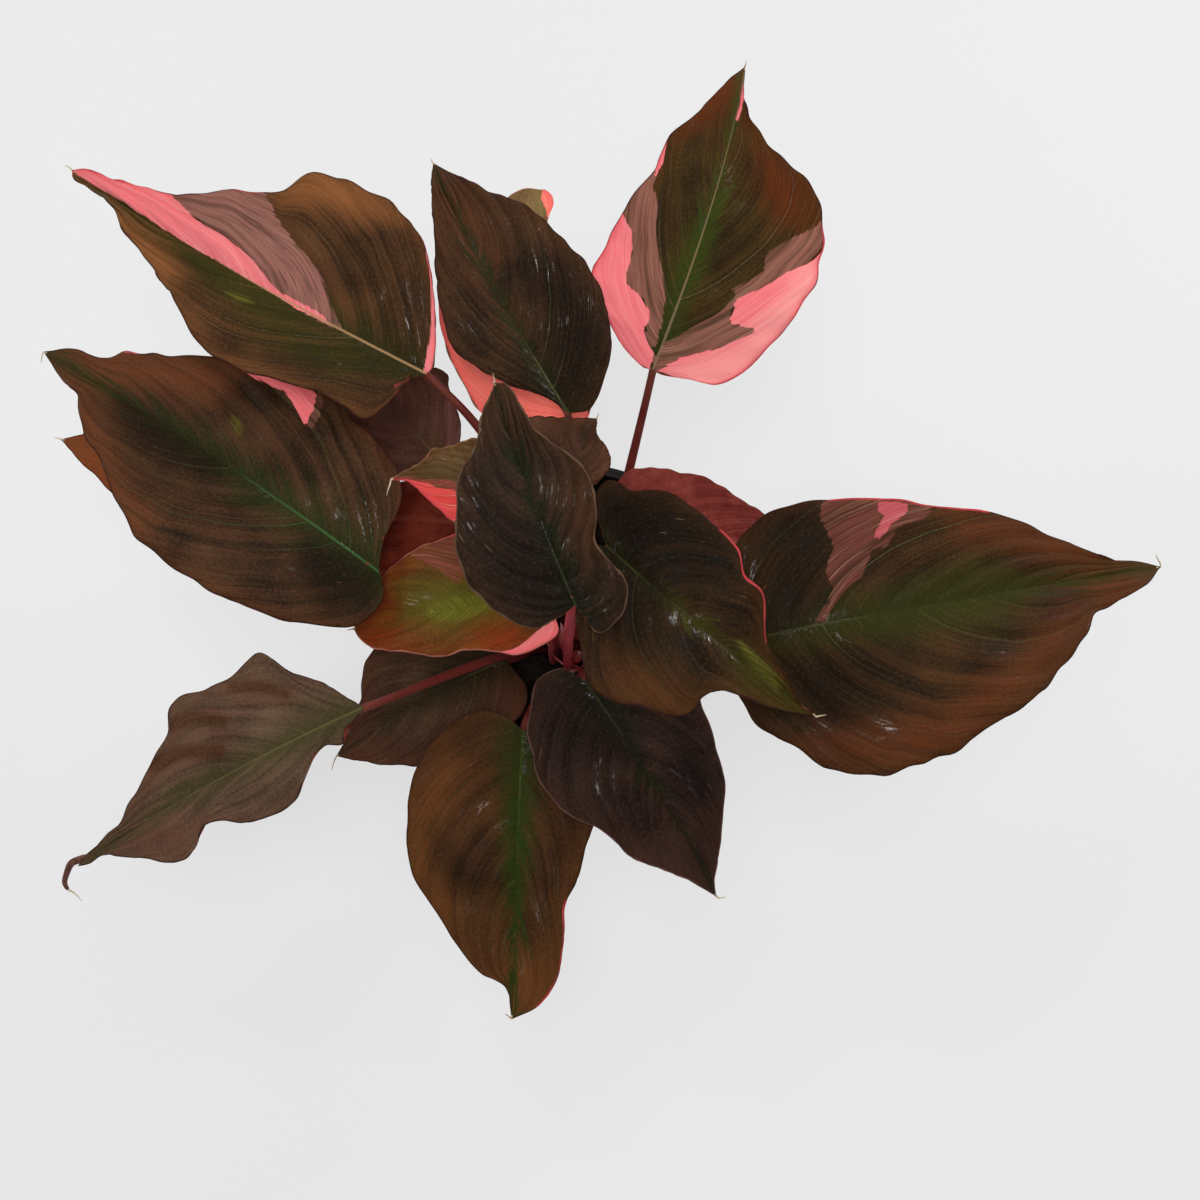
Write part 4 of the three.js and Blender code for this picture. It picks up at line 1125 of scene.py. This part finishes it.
class Value:
    """What comes out of a node. A sum or product of two values adds the math node for it."""

    def __init__(self, wires, socket):
        self.wires = wires
        self.socket = socket

    def __add__(self, other):
        return self.wires.math("ADD", self, other)

    def __sub__(self, other):
        return self.wires.math("SUBTRACT", self, other)

    def __mul__(self, other):
        return self.wires.math("MULTIPLY", self, other)

    def __truediv__(self, other):
        return self.wires.math("DIVIDE", self, other)

    def fade(self, low, high, start=0.0, end=1.0):
        """start below low, end above high, and a smooth change between them."""
        inputs = {"Value": self, "From Min": low, "From Max": high, "To Min": start, "To Max": end}
        return self.wires.value(0, "ShaderNodeMapRange", inputs, interpolation_type="SMOOTHSTEP")


class Wiring:
    """Adds nodes to one node tree and links them up."""

    def __init__(self, tree):
        self.tree = tree

    def add(self, kind, inputs=None, **settings):
        node = self.tree.nodes.new(kind)
        for key, value in settings.items():
            setattr(node, key, value)
        self.fill(node, inputs or {})
        return node

    def fill(self, node, inputs):
        for key, value in inputs.items():
            self.join(value, node.inputs[key])

    def value(self, output, kind, inputs=None, **settings):
        """What comes out of a new node at the given output."""
        return Value(self, self.add(kind, inputs, **settings).outputs[output])

    def join(self, value, socket):
        if isinstance(value, Value):
            self.tree.links.new(value.socket, socket)
        else:
            socket.default_value = tint(value)

    def math(self, operation, a, b=0.0, clamp=False):
        return self.value(0, "ShaderNodeMath", {0: a, 1: b}, operation=operation, use_clamp=clamp)

    def mix(self, share, a, b):
        """The colour a, with the share of it replaced by b."""
        inputs = {"Factor": share, 6: a, 7: b}
        return self.value(2, "ShaderNodeMix", inputs, data_type="RGBA", clamp_factor=True)

    def noise(self, place, scale, detail, rough=0.5):
        """Smooth noise from 0 to 1. The scale is one number, or one for each direction."""
        if isinstance(scale, tuple):
            place, scale = self.scaled(place, scale), 1
        inputs = {"Vector": place, "Scale": scale, "Detail": detail, "Roughness": rough}
        return self.value("Fac", "ShaderNodeTexNoise", inputs)

    def chance(self, number):
        """A random number from 0 to 1 for each whole number."""
        return self.value("Value", "ShaderNodeTexWhiteNoise", {"W": number}, noise_dimensions="1D")

    def off_whole(self, value):
        """How far a value is from the nearest whole number."""
        return self.math("ABSOLUTE", value - self.math("ROUND", value))

    def scaled(self, place, factors):
        return self.value(0, "ShaderNodeVectorMath", {0: place, 1: factors}, operation="MULTIPLY")

    def carried(self, name, output="Fac"):
        """A value that the piece's corners carry."""
        return self.value(output, "ShaderNodeAttribute", attribute_name=name)

    def part(self, place, axis):
        return self.value(axis, "ShaderNodeSeparateXYZ", {0: place})

    def give(self, **results):
        """Links the group's results to its outputs."""
        end = self.add("NodeGroupOutput")
        for label, value in results.items():
            self.join(value, end.inputs[label])
        return self.tree


SKIN_OUT = {"Color": "NodeSocketColor", "Roughness": "NodeSocketFloat", "Height": "NodeSocketFloat"}

LEAF_OUT = {**SKIN_OUT, "Glow": "NodeSocketColor", "Coat": "NodeSocketFloat"}


def new_group(name, tones, sockets_out=SKIN_OUT):
    """An empty shader group, with its inputs (name: usual value) and outputs (name: kind)."""
    tree = bpy.data.node_groups.new(name, "ShaderNodeTree")
    for label, usual in tones.items():
        kind = "NodeSocketColor" if isinstance(usual, str) else "NodeSocketFloat"
        socket = tree.interface.new_socket(label, in_out="INPUT", socket_type=kind)
        socket.default_value = tint(usual)
    for label, kind in sockets_out.items():
        tree.interface.new_socket(label, in_out="OUTPUT", socket_type=kind)
    wires = Wiring(tree)
    start = wires.add("NodeGroupInput")
    return wires, {label: Value(wires, start.outputs[label]) for label in tones}


# The usual tones of a leaf's skin. LEAF_LOOKS says what each leaf has of its own
LEAF_TONES = {
    "Deep": "281a10",
    "Brown": "50381f",
    "Warm": "6a3c20",
    "Green": "303812",
    "Rib": "707840",
    "Edge": "3c2018",
    "Half": "7c5042",
    "Pink": "f48484",
    "Pink shows": 1.0,
    "Glow": 0.06,
    "Halo": 0.8,
    "Halo width": 12.0,
    "Rib shows": 0.3,
    "Rib end": 0.5,
    "Line": 0.55,
    "Fold shading": 0.3,
    "Base shade": 0.45,
    "Specks": 0.3,
    "Wet": 1.0,
    "Dull": 0.5,
}
SHADOW = "140d09"


def leaf_skin_group():
    """The upper skin of a leaf."""
    w, given = new_group("leaf_skin", LEAF_TONES, LEAF_OUT)
    blade = w.carried("blade", "Vector")
    vein = w.carried("vein", "Vector")
    row = w.part(blade, 2)
    lane = w.part(vein, 2)
    rib = w.carried("rib")
    edge = w.carried("edge")
    flat = w.scaled(blade, (1, 1, 0))
    streak = w.noise(vein, (0.85, 0.035, 0), 3, 0.6)
    band = w.noise(vein, (0.16, 0.02, 0), 2)
    notch = w.noise(vein, (0.42, 0.1, 0), 4, 0.65)
    thin = w.noise(vein, (1.6, 0.05, 0), 3, 0.7)
    mottle = w.noise(flat, 0.05, 2)
    grain = w.noise(flat, 0.9, 5, 0.75)

    def wobble(fine, broad):
        """Moves the edge of a patch by so many millimetres, in notches along the side veins."""
        return (notch - 0.5) * fine + (band - 0.5) * broad

    def patch(kind, fine, broad, soft):
        return (w.carried(kind) + wobble(fine, broad)).fade(-soft, soft)

    # Brown skin, warmer towards the margin and the tip, and green along the midrib
    cloud = (mottle * 0.32 + band * 0.24) + (streak * 0.24 + grain * 0.2)
    colour = w.mix(cloud.fade(0.37, 0.63), given["Deep"], given["Brown"])
    streaky = streak.fade(0.35, 0.6, 0.65, 1.0)
    by_edge = row.fade(0.6, 1.0, 0.0, 0.35) + edge.fade(0, 8, 0.3, 0.0)
    colour = w.mix(by_edge * streaky, colour, given["Warm"])
    colour = w.mix(patch("warm", 5, 7, 8) * streaky, colour, given["Warm"])
    colour = w.mix(patch("green", 6, 7, 7) * 0.75, colour, given["Green"])
    reach = given["Halo width"] * row.fade(0.1, 0.9, 1.0, 0.3)
    halo = w.math("SUBTRACT", 1, (rib + wobble(16, 10)) / reach, clamp=True)
    colour = w.mix(halo * given["Halo"], colour, given["Green"])
    yellow = patch("yellow", 3, 2, 1.5) * streak.fade(0.4, 0.6, 0.2, 0.6)
    colour = w.mix(yellow, colour, "7e7e2a")
    # Painted shade in the creases
    colour = w.mix(patch("crease", 1.5, 1.5, 1.3) * 0.7, colour, "4c2c18")
    colour = w.mix(patch("dark", 4, 6, 7) * 0.8, colour, w.mix(0.5, given["Deep"], SHADOW))
    base_shade = row.fade(0.0, 0.6, given["Base shade"], 0.0)
    colour = w.mix(base_shade, colour, w.mix(0.4, given["Deep"], SHADOW))

    # The folds between the side veins: painted shade along each vein, where the fold sinks, and a
    # painted highlight halfway between two veins, where it rises
    ridge = w.math("SINE", w.math("FRACT", lane) * math.pi)
    depth = w.chance(w.math("FLOOR", lane)).fade(0.2, 1.0) * band.fade(0.35, 0.6, 0.4, 1.0)
    depth = depth * given["Fold shading"] * rib.fade(1, 8)
    fold_shade = w.math("POWER", w.math("SUBTRACT", 1, ridge, clamp=True), 2)
    colour = w.mix(fold_shade * depth, colour, SHADOW)
    fold_highlight = w.math("POWER", ridge, 3) * (depth * 0.45)
    colour = w.mix(fold_highlight, colour, w.mix(0.5, given["Brown"], given["Warm"]))

    # Broken fine lines along the side veins and between them, and the grain of the skin
    off_line = w.off_whole(lane)
    shows = w.chance(w.math("ROUND", lane)).fade(0.3, 0.8)
    line = off_line.fade(0.0, 0.03, 1.0, 0.0) * grain.fade(0.35, 0.65, 0.5, 1.0)
    line = line * shows * band.fade(0.4, 0.6)
    colour = w.mix(line * given["Line"], colour, given["Rib"])
    fine = w.off_whole(lane * 4).fade(0.0, 0.12, 0.3, 0.0) * mottle.fade(0.4, 0.6)
    colour = w.mix(fine * given["Line"], colour, w.mix(0.5, given["Rib"], given["Brown"]))
    colour = w.mix(grain.fade(0.32, 0.48, 0.35, 0.0), colour, SHADOW)
    colour = w.mix(grain.fade(0.52, 0.72, 0.0, 0.3), colour, w.mix(0.25, given["Brown"], "a07a52"))

    # Skin with green in part, and pink skin without green, which is given a faint painted glow
    torn = thin * 0.5 + notch * 0.5
    dim = w.mix(0.65, given["Half"], given["Deep"])
    flush = w.mix(torn.fade(0.4, 0.52, 0.75, 0.0), given["Half"], dim)
    flush = w.mix(thin.fade(0.54, 0.64, 0.0, 0.4), flush, w.mix(0.45, given["Half"], given["Pink"]))
    flush = w.mix(streak.fade(0.56, 0.64, 0.0, 0.3), flush, "c8a080")
    colour = w.mix(patch("half", 3.5, 2, 0.25) * band.fade(0.36, 0.52, 0.5, 1.0), colour, flush)
    pink = patch("pink", 2, 1.2, 0.2)
    flesh = w.mix(notch.fade(0.38, 0.62, 0.22, 0.0), given["Pink"], "d44a54")
    flesh = w.mix(streak.fade(0.5, 0.7, 0.0, 0.35), flesh, "fcc4b8")
    flesh = w.mix(patch("pale", 4, 4, 4) * 0.4, flesh, "fcb4ac")
    flesh = w.mix(edge.fade(0.4, 3.0, 0.4, 0.0), flesh, "e8505a")
    colour = w.mix(pink * given["Pink shows"], colour, flesh)
    glow = w.mix(pink * given["Glow"], "000000", flesh)

    # The midrib, pale specks, the rim and the margin that blushes
    rib_mask = (rib / row.fade(0, 1, 0.75, 0.2)).fade(0.4, 1.0, 1.0, 0.0)
    rib_shows = (row - given["Rib end"]).fade(-0.25, 0.0, 1.0, 0.0) * given["Rib shows"]
    colour = w.mix(rib_mask * rib_shows, colour, given["Rib"])
    cells = w.add("ShaderNodeTexVoronoi", {"Vector": w.scaled(vein, (0.17, 0.06, 0)), "Scale": 1.0})
    dot = Value(w, cells.outputs["Distance"]).fade(0.025, 0.06, 1.0, 0.0)
    chosen = w.part(Value(w, cells.outputs["Color"]), 0).fade(0.6, 0.66)
    colour = w.mix(dot * chosen * given["Specks"], colour, "a8845c")
    # A thin line of the Edge tone along the margin, painted shadow where that tone is dark
    colour = w.mix(edge.fade(0.15, 0.55, 1.0, 0.0) * 0.85, colour, given["Edge"])
    blushing = edge.fade(0.3, 0.8, 1.0, 0.0) * w.carried("red").fade(-1, 1)
    colour = w.mix(blushing * 0.9, colour, "d84a50")

    # Relief, and a wet coat in fine spots: in the wet patches, by the midrib and here and there
    rough = given["Dull"] + mottle.fade(0.35, 0.65, -0.1, 0.15) + grain * 0.1
    height = streak * 0.35 + grain * 0.6 + notch * 0.6 - off_line.fade(0, 0.07, 1.0, 0.0) * 0.5
    by_rib = rib.fade(1.5, 4, 1.0, 0.0) * row.fade(0.3, 0.5, 1.0, 0.0)
    zone = w.math("MAXIMUM", by_rib * 0.5, mottle.fade(0.6, 0.68, 0.0, 0.5))
    zone = w.math("MAXIMUM", zone, patch("wet", 3, 3, 1.5))
    spot = w.noise(vein, (0.7, 0.3, 0), 5, 0.75).fade(0.5, 0.6) * grain.fade(0.4, 0.54, 0.15, 1.0)
    return w.give(
        Color=colour, Roughness=rough, Height=height - rib_mask * 0.5, Glow=glow,
        Coat=zone * spot * given["Wet"],
    )


UNDER_TONES = {"Deep": "5a2018", "Light": "8c4034", "Vein": "a05a4c", "Dull": 0.5}
UNDER_SHADOW = "2c0e0c"


def leaf_under_group():
    """The red underside of a leaf, with its veins standing out."""
    w, given = new_group("leaf_underside", UNDER_TONES)
    vein = w.carried("vein", "Vector")
    flat = w.scaled(w.carried("blade", "Vector"), (1, 1, 0))
    streak = w.noise(vein, (0.8, 0.04, 0), 3, 0.6)
    mottle = w.noise(flat, 0.06, 3, 0.6)
    grain = w.noise(flat, 0.8, 3, 0.6)
    colour = w.mix(mottle.fade(0.35, 0.66), given["Deep"], given["Light"])
    colour = w.mix(streak.fade(0.3, 0.6, 0.25, 0.0), colour, UNDER_SHADOW)
    colour = w.mix(grain.fade(0.3, 0.5, 0.35, 0.0), colour, UNDER_SHADOW)
    line = w.off_whole(w.part(vein, 2)).fade(0.02, 0.09, 1.0, 0.0)
    colour = w.mix(line * 0.25, colour, given["Vein"])
    colour = w.mix(w.carried("rib").fade(0.6, 1.6, 0.7, 0.0), colour, given["Vein"])
    rough = given["Dull"] + grain.fade(0.3, 0.7, -0.06, 0.08)
    return w.give(Color=colour, Roughness=rough, Height=streak * 0.6 + grain * 0.4 + line * 0.5)


STALK_TONES = {"Low": "3c1412", "High": "702c26", "Top": "84483a", "Dull": 0.36}


def stalk_skin_group():
    """A stalk: smooth, finely lined along its length, and paler towards its leaf."""
    w, given = new_group("stalk_skin", STALK_TONES)
    place = w.value("Object", "ShaderNodeTexCoord")
    patchy = w.noise(place, 90, 3, 0.6)
    lines = w.noise(place, (1800, 1800, 160), 2)
    rise = w.carried("along") + (patchy - 0.5) * 0.5
    colour = w.mix(rise.fade(0.05, 0.75), given["Low"], given["High"])
    colour = w.mix(rise.fade(0.8, 1.02, 0.0, 0.7), colour, given["Top"])
    colour = w.mix(lines.fade(0.35, 0.7, 0.25, 0.0), colour, "2a0c0e")
    rough = given["Dull"] + patchy.fade(0.3, 0.7, -0.06, 0.1)
    return w.give(Color=colour, Roughness=rough, Height=lines * 0.6 + patchy * 0.4)


SPECKLED_TONES = {"Dark": "0b0b0c", "Light": "1c1b1b", "Scale": 900.0, "Rough": 0.5, "Spread": 0.12}


def speckled_group():
    """A fine grain over slow cloudy patches, for plastic, soil and bark."""
    w, given = new_group("speckled", SPECKLED_TONES)
    place = w.value("Object", "ShaderNodeTexCoord")
    fine = w.noise(place, given["Scale"], 4, 0.6)
    cloud = w.noise(place, given["Scale"] * 0.09, 4, 0.6)
    both = fine * 0.5 + cloud * 0.5
    colour = w.mix(both.fade(0.38, 0.62), given["Dark"], given["Light"])
    rough = given["Rough"] + (cloud - 0.5) * given["Spread"]
    return w.give(Color=colour, Roughness=rough, Height=both)


def shader_of(material):
    material.use_nodes = True
    return Wiring(material.node_tree), material.node_tree.nodes["Principled BSDF"]


def skin_material(name, group, tones, relief, distance=0.0006, level=0.06):
    """A material whose colour, roughness and relief come from one skin group with its own tones."""
    material = bpy.data.materials.new(name)
    w, surface = shader_of(material)
    skin = w.add("ShaderNodeGroup", tones, node_tree=group)
    result = {socket.name: Value(w, socket) for socket in skin.outputs}
    bump = {"Strength": relief, "Distance": distance, "Height": result["Height"]}
    inputs = {
        "Base Color": result["Color"], "Roughness": result["Roughness"], "Specular IOR Level": level,
        "Normal": w.value(0, "ShaderNodeBump", bump),
    }
    if "Coat" in result:
        inputs["Coat Weight"] = result["Coat"]
        inputs["Coat Roughness"] = WET_ROUGHNESS
        # The pink skin's painted glow, in place of light shining through it
        inputs["Emission Color"] = result["Glow"]
        inputs["Emission Strength"] = 1
    w.fill(surface, inputs)
    return material


# Build

leaf_skin = leaf_skin_group()
leaf_underside = leaf_under_group()
stalk_skin = stalk_skin_group()
speckled = speckled_group()

# What each leaf's skin has of its own, where it differs from LEAF_TONES
LEAF_LOOKS = {
    "upper_left": {
        "Deep": "2a1c0f", "Brown": "5e3e24", "Warm": "a4663a", "Green": "34380f",
        "Rib": "b08a60", "Rib shows": 0.9, "Rib end": 0.75, "Half": "9a685c", "Pink": "fc8488",
        "Fold shading": 0.45,
    },
    "upper_middle": {
        "Deep": "1a110a", "Brown": "543825", "Warm": "5e3822", "Green": "2a3016",
        "Halo width": 6.0,
    },
    "under_upper_middle": {
        "Deep": "80663e", "Brown": "a48c5c", "Green": "8a7a48", "Edge": "c88068",
        "Pink": "ff7868", "Fold shading": 0.2, "Base shade": 0.0, "Glow": 0.22,
    },
    "upper_right": {
        "Deep": "281b0a", "Brown": "4a3816", "Warm": "6a300f", "Green": "384610",
        "Half": "926050", "Halo": 0.8, "Halo width": 7.5, "Pink": "fa8084", "Fold shading": 0.35,
        "Rib": "a08264", "Rib shows": 0.55, "Rib end": 1.3, "Glow": 0.12,
    },
    "left_big": {
        "Deep": "20170d", "Brown": "5a3c28", "Warm": "784326", "Green": "2a3816", "Halo width": 16.0,
        "Pink": "ff7c80", "Fold shading": 0.45, "Base shade": 0.0, "Glow": 0.15,
        "Rib": "46703a", "Rib shows": 0.6, "Rib end": 0.6,
    },
    "under_left": {
        "Deep": "5a2812", "Brown": "743c1e", "Warm": "8c4a28", "Base shade": 0.0, "Halo": 0.2,
    },
    "lower_left": {
        "Deep": "46342a", "Brown": "785e4a", "Warm": "6c4232", "Green": "4a4626",
        "Rib": "7e7a4a", "Rib shows": 0.35, "Rib end": 1.2, "Halo": 0.7, "Dull": 0.65,
        "Edge": "3a241c", "Wet": 0.2, "Base shade": 0.2,
    },
    "under_lower_left": {
        "Deep": "382418", "Brown": "5a4030", "Warm": "643828", "Green": "2e2816",
    },
    "bottom": {
        "Deep": "2a1a0d", "Brown": "5a381e", "Warm": "764520", "Green": "2c3c10",
        "Rib": "4e6622", "Rib shows": 0.2, "Rib end": 0.7, "Halo": 1.0, "Halo width": 11.0,
    },
    "bottom_right": {
        "Deep": "170f0c", "Brown": "402b23", "Warm": "4c2e25", "Green": "1c2010",
        "Halo width": 7.0, "Rib": "4a5230", "Edge": "6c4c42",
    },
    "right_big": {
        "Deep": "22170b", "Brown": "4e341c", "Warm": "6c381c", "Green": "363913",
        "Half": "6e3e32", "Pink": "d4606a", "Pink shows": 0.7, "Halo": 0.8, "Halo width": 16.0,
        "Rib shows": 0.12, "Fold shading": 0.4,
    },
    "centre_right": {
        "Deep": "140e09", "Brown": "442f1a", "Warm": "5e3618", "Green": "3e3e10",
        "Halo width": 6.0, "Rib": "4c5224", "Fold shading": 0.4,
    },
    "centre": {
        "Deep": "120e0a", "Brown": "422f23", "Warm": "50321f", "Green": "1c2412",
        "Halo width": 7.0, "Rib": "50583a", "Edge": "6c5240", "Fold shading": 0.45,
    },
    "centre_left": {
        "Deep": "4c351e", "Brown": "6c5231", "Green": "564628", "Half": "8a4236",
        "Pink": "e04a42", "Edge": "8c6048", "Base shade": 0.0, "Glow": 0.0,
    },
    "amber": {
        "Deep": "4c2c10", "Brown": "7e5222", "Warm": "983614", "Green": "545818",
        "Half": "7c4430", "Pink": "f48080", "Glow": 0.15, "Halo": 0.4, "Rib": "948a3c",
        "Edge": "b87060", "Base shade": 0.0,
    },
    "behind_left": {
        "Deep": "50322a", "Brown": "765042", "Green": "54382c", "Half": "784e4a",
        "Base shade": 0.0,
    },
    "behind_top": {
        "Deep": "341e14", "Brown": "644232", "Green": "3a281c", "Half": "5c3c30",
        "Base shade": 0.0,
    },
}
# The leaves that show their underside, and its tones
UNDERSIDE_UP = {
    "red_underside": {"Deep": "68261a", "Light": "8a3a28", "Vein": "904634"},
    "behind_right": {"Deep": "742a24", "Light": "904038", "Vein": "9c5042"},
}

thread_material = skin_material(
    "leaf_bristle", speckled, {"Dark": "c8b08c", "Light": "efe2c4", "Rough": 0.5}, 0.2,
)
tail_material = skin_material(
    "leaf_tail", speckled, {"Dark": "4c3028", "Light": "7c564a", "Rough": 0.5}, 0.2,
)
under_material = skin_material("leaf_underside", leaf_underside, {}, 0.35)
stalk_material = skin_material("stalk_red", stalk_skin, {}, 0.25)
pink_stalk_material = skin_material(
    "stalk_pink", stalk_skin, {"Low": "a43a42", "High": "bc4850", "Top": "b05a50"}, 0.25,
)
shoot_material = skin_material(
    "shoot_pink", stalk_skin,
    {"Low": "f4666e", "High": "ff9090", "Top": "ffd2c6", "Dull": 0.42}, 0.5,
)
crown_material = skin_material(
    "crown_brown", speckled, {"Dark": "3c1c18", "Light": "8a4a40", "Rough": 0.6}, 0.5,
)
pot_material = skin_material(
    "pot_plastic", speckled, {"Dark": "0b0b0c", "Light": "1c1b1b", "Scale": 1400.0}, 0.12, 0.0003, 0.4,
)
soil_material = skin_material(
    "peat", speckled, {"Dark": "1c1b1a", "Light": "34302c", "Scale": 700.0, "Rough": 0.95}, 0.9, 0.001,
)
bark_material = skin_material(
    "bark", speckled, {"Dark": "171412", "Light": "40352c", "Scale": 500.0, "Rough": 0.9}, 0.9, 0.001,
)

build_pot(pot_material)
build_soil(soil_material)
build_chips(bark_material)
build_crown_stem(crown_material)
for name, shape in SHOOTS.items():
    build_shoot(name, *shape, shoot_material)
for index, shape in enumerate(SHEATHS):
    build_sheath(index, *shape, shoot_material)
for seed, (name, leaf) in enumerate(LEAVES.items()):
    upper = skin_material(f"leaf_skin_{name}", leaf_skin, LEAF_LOOKS.get(name, {}), 0.3)
    faces = [upper, under_material]
    if name in UNDERSIDE_UP:
        faces = [skin_material(f"leaf_under_{name}", leaf_underside, UNDERSIDE_UP[name], 0.35), upper]
    build_leaf(name, leaf, SEED_STEP * seed, [*faces, thread_material, tail_material])
    build_stalk(name, leaf, pink_stalk_material if name == "centre" else stalk_material)


# Floor, light and camera

def build_floor():
    body = bmesh.new()
    bmesh.ops.create_grid(body, x_segments=2, y_segments=2, size=FLOOR_SIZE)
    material = bpy.data.materials.new("floor_pale")
    w, surface = shader_of(material)
    w.fill(surface, {
        "Base Color": (0.3, 0.3, 0.3, 1), "Roughness": 0.9, "Specular IOR Level": 0.1,
        "Emission Color": (1, 1, 1, 1), "Emission Strength": FLOOR_GLOW,
    })
    floor = place_mesh("floor", body, [material])


def add_light(name, place, size, power):
    light = bpy.data.lights.new(name, "AREA")
    light.shape = "DISK"
    light.size = size
    light.energy = power
    lamp = place_object(name, light)
    lamp.location = place
    aim = Vector(LIGHT_AIM) - Vector(place)
    lamp.rotation_euler = aim.to_track_quat("-Z", "Y").to_euler()


build_floor()
for name, light in LIGHTS.items():
    add_light(name, *light)
world = bpy.data.worlds.new("studio")
world.use_nodes = True
sky = world.node_tree.nodes["Background"].inputs
sky["Color"].default_value = (1, 1, 1, 1)
sky["Strength"].default_value = WORLD_LIGHT
bpy.context.scene.world = world
bpy.context.scene.view_settings.view_transform = "Standard"

camera = bpy.data.cameras.new("camera")
camera.lens = LENS
camera.sensor_width = SENSOR
eye = place_object("camera", camera)
eye.location = Vector(CAMERA_PLACE) * MM
eye.rotation_euler = (CAMERA_TILT, 0, 0)
bpy.context.scene.camera = eye
